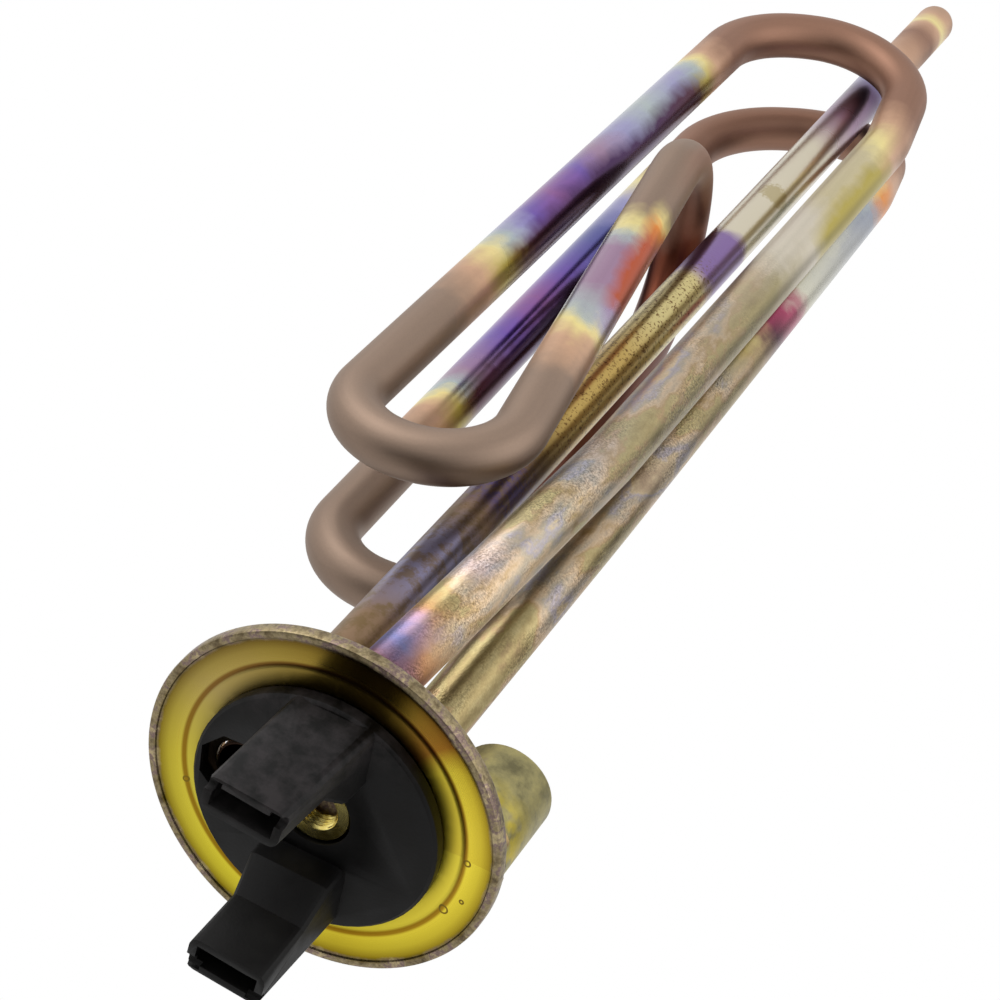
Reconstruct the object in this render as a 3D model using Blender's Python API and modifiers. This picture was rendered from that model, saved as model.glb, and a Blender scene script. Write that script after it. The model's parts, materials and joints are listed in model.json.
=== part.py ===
"""Water heater element: a round flange that carries two hairpin legs of one bent sheathed
heating tube, a straight thermostat pocket, an anode boss and, on its outer side, a moulded
terminal base with two tab shrouds.

The frame: +Z runs along the tubes into the tank, z = 0 is the flange's tank side and the
origin is that face's centre. The pocket stands at +X, the anode boss at -X, and the two
legs of the heating tube leave the flange at +Y and -Y.
Sizes are in millimetres up to scaled(), which turns them into metres.
"""

import math

import bmesh
import bpy
from mathutils import Matrix, Vector

# Clearance between two pieces that touch on the real part
GAP = 0.3

# Flange: a round plate with a shallow turned recess on its outer side, and on its tank side
# a fine turned ring that marks the centre
FLANGE_R = 24.0
FLANGE_T = 2.0
RECESS_DEPTH = 0.9
LIP_WIDTH = 1.0
LIP_CHAMFER = 0.35
RECESS_FLOOR_R = 18.3
RECESS_STEP_R = 19.3
RECESS_STEP = 0.2
CENTRE_RING_R = 4.5
CENTRE_RING_CUT = 0.1
FLANGE_STEPS = 54

# Heating tube: sheath, mineral filling and the coil's winding envelope
SHEATH_R = 4.0
SHEATH_WALL = 0.75
FILL_BORE_R = 1.8
COIL_WALL = 0.5
SHEATH_PROUD = 0.4
TUBE_ARC_STEP = math.radians(15.0)
SHEATH_FACETS = 6
BORE_FACETS = 3
FILL_FACETS = 2
COIL_FACETS = 1

# Corner points of the bent tube's centre line, with the radius of the bend at each.
# The near loop is at +Y, the far one at -Y, and the saddle bend joins them at the far end.
LEG_SPACING = 21.1
NECK = (-1.7, 6.2, 80.0)
SHOULDER = (-1.2, 5.2, 202.8)
CREST = (3.7, 8.6, 237.2)
OUTER_TOP = (33.2, 10.2, 221.5)
OUTER_FOOT = (32.0, 11.6, 56.5)
INNER_FOOT = (6.8, 11.9, 57.4)
SADDLE = (20.7, 16.7, 165.0)
NECK_BEND = 150.0
SHOULDER_BEND = 30.0
CREST_BEND = 14.7
OUTER_TOP_BEND = 19.9
FOOT_BEND = 11.9
SADDLE_BEND = 16.0
# How far the far loop's hand-bent corners lie to +X of the near loop's
FAR_SHIFT = {"NECK": 0.2, "SHOULDER": 1.0, "CREST": 1.6, "OUTER_TOP": 2.3, "OUTER_FOOT": 1.1}

# Cold pins, seals and bushes in the two ends of the sheath
PIN_TAIL_R = 0.7
PIN_TAIL = 5.0
PIN_END_R = 0.9
COLD_LENGTH = 60.0
SEAL_LENGTH = 4.0
BUSH_SHANK = 3.0
BUSH_HEAD_R = 3.1
BUSH_HEAD = 1.1

# Thermostat pocket: a closed-end tube
POCKET_X = 11.1
POCKET_R = 3.6
POCKET_WALL = 0.5
POCKET_TOP = 273.9
POCKET_RIM = 0.25
POCKET_STEPS = 20

# Anode boss: a round block with a blind tapped hole towards the tank
BOSS_INSET = 6.5
BOSS_X = FLANGE_R - BOSS_INSET
BOSS_R = 6.3
BOSS_TOP = 13.7
BOSS_CHAMFER = 0.4
BOSS_HOLE_R = 2.5
BOSS_HOLE_DEPTH = 10.0
BOSS_STEPS = 32

# Fillets of brazing metal on the tank side
BRAZE_WIDTH = 1.0
BRAZE_HEIGHT = 0.9
BRAZE_STEPS = 20

# Threaded bush in the middle of the terminal base
INSERT_R = 4.6
INSERT_FACE = 3.0
INSERT_BORE_R = 2.6
INSERT_CHAMFER = 0.5
INSERT_STEPS = 32

# Terminal base: a disc and two tab shrouds in one moulding, turned a little on the flange
BASE_TURN = math.radians(4.7)
DISC_R = 16.6
DISC_SHIFT = (0.2, -0.6)
DISC_FACE = 3.4
DISC_CHAMFER = 0.4
DISC_STEPS = 56
STEM_HOLE_R = 5.1
STEM_HOLE_SIDES = 8
STEM_HOLE_PHASE = math.radians(24.0)
SHROUD_OFFSET = 2.25
SHROUD_Y = LEG_SPACING / 2.0 + SHROUD_OFFSET
SHROUD_WIDTH = 10.4
SHROUD_HEIGHT = 5.2
SHROUD_END = 20.9
SHROUD_ROUND = 1.3
SHROUD_LIP_STEP = 0.3
BLOCK_HEIGHT = 8.7
BLOCK_WIDEN = 0.55
SLOPE_START = 7.4
SLOPE_END = 11.6
MOUTH_WALL = 1.05
MOUTH_DEPTH = 12.9
MOUTH_NOTCH_R = 0.9
WELL_DEPTH = 0.5
WEB = 1.4

# The shrouds came out of the mould leaning and twisted a little, by these amounts for
# each millimetre below LEAN_START: along X, along Y and as a turn about their own axis
LEAN_START = 5.0
NEAR_LEAN = (0.115, -0.06, math.radians(0.3))
FAR_LEAN = (0.01, 0.0, math.radians(0.3))

# Flat tabs for push-on receptacles
TAB_WIDTH = 6.3
TAB_THICKNESS = 0.8
TAB_END = 17.6
TAB_TAPER = 1.2
TAB_HOLE_R = 0.75
TAB_HOLE = 4.0

MM = 0.001


def scaled(*values):
    """A point or size in millimetres as a vector in metres."""
    return Vector(values) * MM


def fresh_scene():
    for obj in list(bpy.data.objects):
        bpy.data.objects.remove(obj, do_unlink=True)
    parts = bpy.data.collections.new("water_heater_element")
    cutters = bpy.data.collections.new("cutters")
    cutters.hide_render = True
    for group in (parts, cutters):
        bpy.context.scene.collection.children.link(group)
    return parts, cutters


PARTS, CUTTERS = fresh_scene()


def metal_or_plastic(name, colour, roughness, metallic):
    material = bpy.data.materials.new(name)
    material.use_nodes = True
    shader = material.node_tree.nodes["Principled BSDF"]
    shader.inputs["Base Color"].default_value = (*colour, 1.0)
    shader.inputs["Roughness"].default_value = roughness
    shader.inputs["Metallic"].default_value = metallic
    material.diffuse_color = (*colour, 1.0)
    return material


def take_in(name, mesh, material, location=(0.0, 0.0, 0.0), parent=None):
    """Makes the object of one piece in the part's collection."""
    obj = bpy.data.objects.new(name, mesh)
    PARTS.objects.link(obj)
    obj.parent = parent
    obj.location = scaled(*location)
    obj.data.materials.append(material)
    obj.data.shade_smooth()
    obj.data.set_sharp_from_angle(angle=math.radians(38.0))
    return obj


def turned_mesh(name, profile, steps):
    """A closed turned solid: the profile (radius, z) runs down its outer side."""
    mesh = bpy.data.meshes.new(name + "_profile")
    mesh.from_pydata([scaled(r, 0.0, z) for r, z in profile],
                     [(i, i + 1) for i in range(len(profile) - 1)], [])
    if profile[0][0] > 0.0:
        mesh.clear_geometry()
        count = len(profile)
        mesh.from_pydata([scaled(r, 0.0, z) for r, z in profile],
                         [(i, (i + 1) % count) for i in range(count)], [])
    guide = bpy.data.objects.new(name + "_guide", mesh)
    CUTTERS.objects.link(guide)
    screw = guide.modifiers.new("Turn", "SCREW")
    screw.steps = steps
    screw.render_steps = steps
    screw.use_merge_vertices = True
    screw.merge_threshold = 0.00001
    made = evaluated_mesh(guide)
    made.name = name
    bpy.data.objects.remove(guide, do_unlink=True)
    return made


def evaluated_mesh(obj):
    """The object's mesh with its modifiers applied, every loose cap welded to its side."""
    bpy.context.view_layer.update()
    graph = bpy.context.evaluated_depsgraph_get()
    mesh = bpy.data.meshes.new_from_object(obj.evaluated_get(graph))
    work = bmesh.new()
    work.from_mesh(mesh)
    bmesh.ops.remove_doubles(work, verts=work.verts, dist=0.000002)
    bmesh.ops.recalc_face_normals(work, faces=work.faces)
    work.to_mesh(mesh)
    work.free()
    mesh.materials.clear()
    return mesh


def cutter(name, mesh, matrix=None):
    obj = bpy.data.objects.new(name, mesh)
    CUTTERS.objects.link(obj)
    obj.hide_render = True
    obj.display_type = "WIRE"
    if matrix is not None:
        obj.matrix_world = matrix
    return obj


def combine(obj, other, operation):
    boolean = obj.modifiers.new(operation.title() + "_" + other.name, "BOOLEAN")
    boolean.operation = operation
    boolean.solver = "EXACT"
    boolean.object = other


def round_cutter(name, radius, z_low, z_high, x=0.0, y=0.0, sides=32, phase=0.0):
    """An upright prism or cylinder from z_low to z_high."""
    work = bmesh.new()
    bmesh.ops.create_cone(work, cap_ends=True, segments=sides, radius1=radius * MM,
                          radius2=radius * MM, depth=(z_high - z_low) * MM)
    bmesh.ops.rotate(work, verts=work.verts, matrix=Matrix.Rotation(phase, 3, "Z"))
    bmesh.ops.translate(work, verts=work.verts, vec=scaled(x, y, 0.5 * (z_low + z_high)))
    mesh = bpy.data.meshes.new(name)
    work.to_mesh(mesh)
    work.free()
    return cutter(name, mesh)


def box_cutter(name, x_range, y_range, z_range):
    work = bmesh.new()
    bmesh.ops.create_cube(work, size=1.0)
    size = [high - low for low, high in (x_range, y_range, z_range)]
    centre = [0.5 * (high + low) for low, high in (x_range, y_range, z_range)]
    bmesh.ops.scale(work, verts=work.verts, vec=scaled(*size))
    bmesh.ops.translate(work, verts=work.verts, vec=scaled(*centre))
    mesh = bpy.data.meshes.new(name)
    work.to_mesh(mesh)
    work.free()
    return cutter(name, mesh)


def rounded_path(corners, arc_step):
    """The corner points with an arc of the given radius at each inner one.

    An arc that would run past its neighbour's end is shortened to the span it has."""
    points = [Vector(point) for point, _ in corners]
    reach = [0.0]
    for before, here, after, (_, radius) in zip(points, points[1:], points[2:], corners[1:-1]):
        turn = (here - before).angle(after - here)
        reach.append(radius * math.tan(turn / 2.0))
    reach.append(0.0)
    share = [1.0] * len(points)
    for i in range(len(points) - 1):
        span = 0.995 * (points[i + 1] - points[i]).length
        used = reach[i] + reach[i + 1]
        if used > span:
            share[i] = min(share[i], span / used)
            share[i + 1] = min(share[i + 1], span / used)
    path = [points[0]]
    for i in range(1, len(points) - 1):
        inward = (points[i - 1] - points[i]).normalized()
        onward = (points[i + 1] - points[i]).normalized()
        turn = (-inward).angle(onward)
        length = reach[i] * share[i]
        radius = length / math.tan(turn / 2.0)
        centre = points[i] + (inward + onward).normalized() * math.hypot(radius, length)
        start = points[i] + inward * length - centre
        axis = (-inward).cross(onward).normalized()
        count = max(1, math.ceil(turn / arc_step))
        for k in range(count + 1):
            path.append(centre + Matrix.Rotation(turn * k / count, 3, axis) @ start)
    path.append(points[-1])
    return path


def trimmed(path, length):
    """The path without this length at each of its ends."""
    def from_start(points):
        left = length
        for i in range(len(points) - 1):
            step = (points[i + 1] - points[i]).length
            if step > left:
                return [points[i].lerp(points[i + 1], left / step)] + points[i + 1:]
            left -= step
        return points[-2:]
    return from_start(from_start(path)[::-1])[::-1]


def rod_mesh(name, path, radius, facets):
    """A solid round rod along the path, with flat capped ends."""
    curve = bpy.data.curves.new(name, "CURVE")
    curve.dimensions = "3D"
    curve.bevel_depth = radius * MM
    curve.bevel_resolution = facets
    curve.use_fill_caps = True
    spline = curve.splines.new("POLY")
    spline.points.add(len(path) - 1)
    for point, place in zip(spline.points, path):
        point.co = (*scaled(*place), 1.0)
    guide = bpy.data.objects.new(name + "_line", curve)
    CUTTERS.objects.link(guide)
    made = evaluated_mesh(guide)
    made.name = name
    bpy.data.objects.remove(guide, do_unlink=True)
    return made


def make_pipe(name, path, radius, bore, facets, bore_facets, material):
    """A round rod along the path with a bore right through it."""
    pipe = take_in(name, rod_mesh(name, path, radius, facets), material)
    past_start = path[0] + (path[0] - path[1]).normalized()
    past_end = path[-1] + (path[-1] - path[-2]).normalized()
    longer = [past_start] + path[1:-1] + [past_end]
    combine(pipe, cutter(name + "_bore", rod_mesh(name + "_bore", longer, bore, bore_facets)),
            "DIFFERENCE")


def extruded_block(name, outline, half_width, widen, base_z):
    """The (y, z) outline drawn out along X, wider by widen on each side at base_z and above."""
    curve = bpy.data.curves.new(name, "CURVE")
    curve.dimensions = "2D"
    curve.fill_mode = "BOTH"
    curve.extrude = half_width * MM
    spline = curve.splines.new("POLY")
    spline.points.add(len(outline) - 1)
    for point, (y, z) in zip(spline.points, outline):
        point.co = (y * MM, z * MM, 0.0, 1.0)
    spline.use_cyclic_u = True
    guide = bpy.data.objects.new(name + "_outline", curve)
    CUTTERS.objects.link(guide)
    mesh = evaluated_mesh(guide)
    bpy.data.objects.remove(guide, do_unlink=True)
    mesh.transform(Matrix(((0, 0, 1, 0), (1, 0, 0, 0), (0, 1, 0, 0), (0, 0, 0, 1))))
    work = bmesh.new()
    work.from_mesh(mesh)
    bmesh.ops.dissolve_limit(work, angle_limit=0.001, verts=work.verts, edges=work.edges)
    for vert in work.verts:
        if vert.co.z > base_z * MM:
            vert.co.x += math.copysign(widen * MM, vert.co.x)
    long_edges = [edge for edge in work.edges
                  if abs(edge.verts[0].co.z - edge.verts[1].co.z) > 0.7 * edge.calc_length()]
    bmesh.ops.bevel(work, geom=long_edges, offset=SHROUD_ROUND * MM, segments=3,
                    profile=0.5, affect="EDGES", clamp_overlap=True)
    bmesh.ops.recalc_face_normals(work, faces=work.faces)
    work.to_mesh(mesh)
    work.free()
    return mesh


BRASS = metal_or_plastic("Yellow passivated plate", (0.62, 0.49, 0.09), 0.3, 1.0)
STEEL = metal_or_plastic("Heat-tinted steel tube", (0.42, 0.35, 0.29), 0.35, 1.0)
POCKET_STEEL = metal_or_plastic("Tinted pocket steel", (0.47, 0.40, 0.30), 0.32, 1.0)
BOSS_STEEL = metal_or_plastic("Olive passivated steel", (0.30, 0.28, 0.16), 0.45, 1.0)
PIN_STEEL = metal_or_plastic("Plain pin steel", (0.48, 0.47, 0.45), 0.35, 1.0)
COIL_ALLOY = metal_or_plastic("Resistance alloy", (0.33, 0.31, 0.29), 0.45, 1.0)
MAGNESIA = metal_or_plastic("Pressed magnesia", (0.78, 0.77, 0.72), 0.9, 0.0)
CERAMIC = metal_or_plastic("White ceramic", (0.82, 0.79, 0.72), 0.6, 0.0)
SEAL_RESIN = metal_or_plastic("Sealing resin", (0.35, 0.10, 0.05), 0.5, 0.0)
TAB_BRASS = metal_or_plastic("Tinned brass tab", (0.60, 0.58, 0.50), 0.35, 1.0)
INSERT_BRASS = metal_or_plastic("Turned brass", (0.66, 0.50, 0.16), 0.28, 1.0)
BRAZE = metal_or_plastic("Brazing metal", (0.56, 0.45, 0.20), 0.45, 1.0)
BASE_PLASTIC = metal_or_plastic("Charcoal moulding", (0.022, 0.021, 0.021), 0.5, 0.0)

FLOOR_Z = RECESS_DEPTH - FLANGE_T
BORE_R = SHEATH_R - SHEATH_WALL
FILL_R = BORE_R - GAP
COIL_R = FILL_BORE_R - GAP
PIN_R = FILL_BORE_R - GAP
SHEATH_END = FLOOR_Z - SHEATH_PROUD
BUSH_HEAD_END = SHEATH_END - GAP - BUSH_HEAD
BUSH_SHANK_END = SHEATH_END + BUSH_SHANK
SEAL_START = BUSH_SHANK_END + GAP
FILL_START = SEAL_START + SEAL_LENGTH + GAP
COIL_START = COLD_LENGTH + GAP
WEB_Z = MOUTH_DEPTH - SHROUD_END
PIN_OUTER_END = WEB_Z + WEB + GAP
TURN = Matrix.Rotation(BASE_TURN, 4, "Z")


def leg_root(side):
    return Vector((0.0, side * LEG_SPACING / 2.0, 0.0))


def corner(name, side):
    """A named corner of the near loop, or its mirrored and shifted twin on the far one."""
    x, y, z = globals()[name]
    return (x + (FAR_SHIFT.get(name, 0.0) if side < 0 else 0.0), side * y, z)


def leg_direction(side):
    return (Vector(corner("NECK", side)) - leg_root(side)).normalized()


def loop_corners(side):
    """From the sheath's end at the flange to the saddle bend."""
    start = leg_root(side) + leg_direction(side) * SHEATH_END
    return [(start, 0.0), (corner("NECK", side), NECK_BEND),
            (corner("SHOULDER", side), SHOULDER_BEND), (corner("CREST", side), CREST_BEND),
            (corner("OUTER_TOP", side), OUTER_TOP_BEND), (corner("OUTER_FOOT", side), FOOT_BEND),
            (corner("INNER_FOOT", side), FOOT_BEND), (corner("SADDLE", side), SADDLE_BEND)]


def tube_path():
    return rounded_path(loop_corners(1) + loop_corners(-1)[::-1], TUBE_ARC_STEP)


def leg_empty(side):
    """The axis of one end of the tube, local +Z pointing into the tank."""
    empty = bpy.data.objects.new("leg_axis_near" if side > 0 else "leg_axis_far", None)
    PARTS.objects.link(empty)
    empty.location = leg_root(side) * MM
    empty.rotation_mode = "QUATERNION"
    empty.rotation_quaternion = leg_direction(side).to_track_quat("Z", "Y")
    empty.empty_display_size = 0.01
    return empty


def base_empty():
    """The turned frame of the terminal base and its tabs."""
    empty = bpy.data.objects.new("terminal_axis", None)
    PARTS.objects.link(empty)
    empty.rotation_euler = (0.0, 0.0, BASE_TURN)
    empty.empty_display_size = 0.01
    return empty


def make_flange():
    lip_z = -FLANGE_T
    lip_r = FLANGE_R - LIP_WIDTH
    step_z = FLOOR_Z - RECESS_STEP
    wall = [(lip_r, lip_z)]
    for k in range(1, 5):
        share = k / 5.0
        drop = 0.5 - 0.5 * math.cos(math.pi * share)
        wall.append((lip_r + (RECESS_STEP_R - lip_r) * share, lip_z + (step_z - lip_z) * drop))
    profile = [(0.0, 0.0), (CENTRE_RING_R, 0.0),
               (CENTRE_RING_R + CENTRE_RING_CUT, -CENTRE_RING_CUT),
               (CENTRE_RING_R + 2.0 * CENTRE_RING_CUT, 0.0), (FLANGE_R - LIP_CHAMFER, 0.0),
               (FLANGE_R, -LIP_CHAMFER), (FLANGE_R, lip_z + LIP_CHAMFER),
               (FLANGE_R - LIP_CHAMFER, lip_z)]
    profile += wall + [(RECESS_STEP_R, step_z), (RECESS_FLOOR_R, FLOOR_Z), (0.0, FLOOR_Z)]
    flange = take_in("flange", turned_mesh("flange", profile, FLANGE_STEPS), BRASS)
    through = (-2.0 * FLANGE_T, FLANGE_T)
    for side, label in ((1, "near"), (-1, "far")):
        root = leg_root(side)
        hole = round_cutter("leg_hole_" + label, SHEATH_R + GAP + 0.05, *through, root.x, root.y)
        combine(flange, hole, "DIFFERENCE")
    combine(flange, round_cutter("pocket_hole", POCKET_R + GAP + 0.02, *through, POCKET_X, 0.0),
            "DIFFERENCE")


def make_heating_tube():
    path = tube_path()
    make_pipe("heater_sheath", path, SHEATH_R, BORE_R, SHEATH_FACETS, BORE_FACETS, STEEL)
    make_pipe("magnesia_fill", trimmed(path, FILL_START - SHEATH_END), FILL_R, FILL_BORE_R,
              FILL_FACETS, COIL_FACETS, MAGNESIA)
    make_pipe("resistance_coil", trimmed(path, COIL_START - SHEATH_END), COIL_R,
              COIL_R - COIL_WALL, COIL_FACETS, COIL_FACETS, COIL_ALLOY)


def ring(name, outer, inner, z_low, z_high, steps):
    return turned_mesh(name, [(inner, z_high), (outer, z_high), (outer, z_low),
                              (inner, z_low)], steps)


def make_tube_ends():
    bore = PIN_R + GAP
    for side, number in ((1, "1"), (-1, "2")):
        axis = leg_empty(side)
        shank_r = BORE_R - GAP
        pin = [(0.0, COLD_LENGTH + PIN_TAIL), (PIN_TAIL_R, COLD_LENGTH + PIN_TAIL),
               (PIN_TAIL_R, COLD_LENGTH), (PIN_R, COLD_LENGTH), (PIN_R, BUSH_HEAD_END),
               (PIN_END_R, BUSH_HEAD_END), (PIN_END_R, PIN_OUTER_END), (0.0, PIN_OUTER_END)]
        take_in("cold_pin_" + number, turned_mesh("cold_pin", pin, 14), PIN_STEEL, parent=axis)
        seal = ring("end_seal", shank_r, bore, SEAL_START, SEAL_START + SEAL_LENGTH, 18)
        take_in("end_seal_" + number, seal, SEAL_RESIN, parent=axis)
        bush = [(bore, BUSH_SHANK_END), (shank_r, BUSH_SHANK_END), (shank_r, SHEATH_END - GAP),
                (BUSH_HEAD_R, SHEATH_END - GAP), (BUSH_HEAD_R, BUSH_HEAD_END),
                (bore, BUSH_HEAD_END)]
        take_in("end_bush_" + number, turned_mesh("end_bush", bush, 18), CERAMIC, parent=axis)


def make_pocket():
    inner = POCKET_R - POCKET_WALL
    round_z = POCKET_TOP - POCKET_R
    outer_tip = [(POCKET_R * math.sin(a), round_z + POCKET_R * math.cos(a))
                 for a in (math.radians(18.0 * k) for k in range(6))]
    inner_tip = [(inner * math.cos(a), round_z + inner * math.sin(a))
                 for a in (math.radians(22.5 * k) for k in range(5))]
    rim = [(POCKET_R, FLOOR_Z), (inner + POCKET_RIM, FLOOR_Z), (inner, FLOOR_Z + 2.0 * POCKET_RIM)]
    profile = outer_tip + rim + inner_tip
    profile[0] = (0.0, POCKET_TOP)
    profile[-1] = (0.0, POCKET_TOP - POCKET_WALL)
    take_in("thermostat_pocket", turned_mesh("thermostat_pocket", profile, POCKET_STEPS),
            POCKET_STEEL, location=(POCKET_X, 0.0, 0.0))


def make_boss():
    hole_z = BOSS_TOP - BOSS_HOLE_DEPTH
    profile = [(0.0, hole_z - 0.5 * BOSS_HOLE_R), (BOSS_HOLE_R, hole_z),
               (BOSS_HOLE_R, BOSS_TOP - BOSS_CHAMFER),
               (BOSS_HOLE_R + BOSS_CHAMFER, BOSS_TOP), (BOSS_R - BOSS_CHAMFER, BOSS_TOP),
               (BOSS_R, BOSS_TOP - BOSS_CHAMFER), (BOSS_R, GAP), (0.0, GAP)]
    take_in("anode_boss", turned_mesh("anode_boss", profile, BOSS_STEPS), BOSS_STEEL,
            location=(-BOSS_X, 0.0, 0.0))


def make_brazing():
    """Fillets where the tubes and the boss meet the tank side."""
    seats = [("braze_leg_1", leg_root(1), SHEATH_R), ("braze_leg_2", leg_root(-1), SHEATH_R),
             ("braze_pocket", Vector((POCKET_X, 0.0, 0.0)), POCKET_R),
             ("braze_boss", Vector((-BOSS_X, 0.0, 0.0)), BOSS_R)]
    for name, place, radius in seats:
        inner = radius + GAP
        if name.startswith("braze_leg"):
            inner += 0.1
        profile = [(inner, GAP + BRAZE_HEIGHT), (inner + 0.2 * BRAZE_WIDTH, GAP + BRAZE_HEIGHT),
                   (inner + 0.5 * BRAZE_WIDTH, GAP + 0.4 * BRAZE_HEIGHT),
                   (inner + BRAZE_WIDTH, GAP), (inner, GAP)]
        fillet = take_in(name, turned_mesh(name, profile, BRAZE_STEPS), BRAZE,
                         location=tuple(place))
        if name == "braze_boss":
            plate = round_cutter("plate_edge", FLANGE_R - LIP_CHAMFER, -1.0, 5.0, sides=60)
            combine(fillet, plate, "INTERSECT")


def make_insert():
    face = -INSERT_FACE
    seat = FLOOR_Z - GAP
    profile = [(INSERT_BORE_R, seat), (INSERT_R, seat), (INSERT_R, face + 0.2),
               (INSERT_R - 0.2, face), (INSERT_BORE_R + INSERT_CHAMFER, face),
               (INSERT_BORE_R, face + INSERT_CHAMFER)]
    take_in("centre_insert", turned_mesh("centre_insert", profile, INSERT_STEPS), INSERT_BRASS)


def pin_end(side):
    """Where the pin's outer end lies, in the turned frame of the terminal base."""
    return TURN.inverted() @ (leg_root(side) + leg_direction(side) * PIN_OUTER_END)


def tab_y(side):
    """The tab lies against the outer side of its pin, inside the shroud."""
    return side * (abs(pin_end(side).y) + PIN_END_R + 1.5 * GAP + 0.5 * TAB_THICKNESS)


def lean(mesh, side):
    """Moves a shroud's mesh, or that of a cut or tab in it, to the shroud's real lean. The
    mesh lies in the turned frame of the terminal base."""
    along_x, along_y, twist = NEAR_LEAN if side > 0 else FAR_LEAN
    middle = scaled(0.0, side * SHROUD_Y, 0.0)
    for vert in mesh.vertices:
        below = max(0.0, -LEAN_START - vert.co.z / MM)
        turned = Matrix.Rotation(twist * below, 3, "Z") @ (vert.co - middle) + middle
        vert.co = turned + scaled(along_x * below, along_y * below, 0.0)


def make_tabs(frame):
    start = BUSH_HEAD_END - GAP
    half = 0.5 * TAB_WIDTH
    for side, number in ((1, "1"), (-1, "2")):
        outline = [(-half, start), (half, start), (half, TAB_TAPER - TAB_END),
                   (half - TAB_TAPER, -TAB_END), (TAB_TAPER - half, -TAB_END),
                   (-half, TAB_TAPER - TAB_END)]
        curve = bpy.data.curves.new("terminal_tab_" + number, "CURVE")
        curve.dimensions = "2D"
        curve.fill_mode = "BOTH"
        curve.extrude = 0.5 * TAB_THICKNESS * MM
        spline = curve.splines.new("POLY")
        spline.points.add(len(outline) - 1)
        for point, (x, z) in zip(spline.points, outline):
            point.co = (x * MM, z * MM, 0.0, 1.0)
        spline.use_cyclic_u = True
        guide = bpy.data.objects.new("tab_outline_" + number, curve)
        CUTTERS.objects.link(guide)
        mesh = evaluated_mesh(guide)
        bpy.data.objects.remove(guide, do_unlink=True)
        mesh.transform(Matrix(((1, 0, 0, 0), (0, 0, -1, 0), (0, 1, 0, 0), (0, 0, 0, 1))))
        mesh.transform(Matrix.Translation(scaled(0.0, tab_y(side), 0.0)))
        lean(mesh, side)
        tab = take_in("terminal_tab_" + number, mesh, TAB_BRASS, parent=frame)
        hole = round_cutter("tab_hole_" + number, TAB_HOLE_R, -2.0 * TAB_THICKNESS,
                            2.0 * TAB_THICKNESS, sides=16)
        hole.data.transform(Matrix.Translation(scaled(0.0, tab_y(side), TAB_HOLE - TAB_END))
                            @ Matrix.Rotation(math.pi / 2.0, 4, "X"))
        lean(hole.data, side)
        hole.matrix_world = TURN
        combine(tab, hole, "DIFFERENCE")


def shroud_outline(side):
    """Side view of one shroud in (y, z): its outer wall is straight, its inner wall steps
    down a slope from the thick foot on the disc to the slimmer sleeve."""
    outer = SHROUD_Y + 0.5 * SHROUD_HEIGHT
    inner = SHROUD_Y - 0.5 * SHROUD_HEIGHT
    foot = outer - BLOCK_HEIGHT
    inside_disc = -0.5 * (DISC_FACE - FLOOR_Z)
    points = [(outer, inside_disc), (outer, -SHROUD_END), (inner, -SHROUD_END - SHROUD_LIP_STEP),
              (inner, -SLOPE_END), (foot, -SLOPE_START), (foot, inside_disc)]
    return [(side * y, z) for y, z in points]


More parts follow.
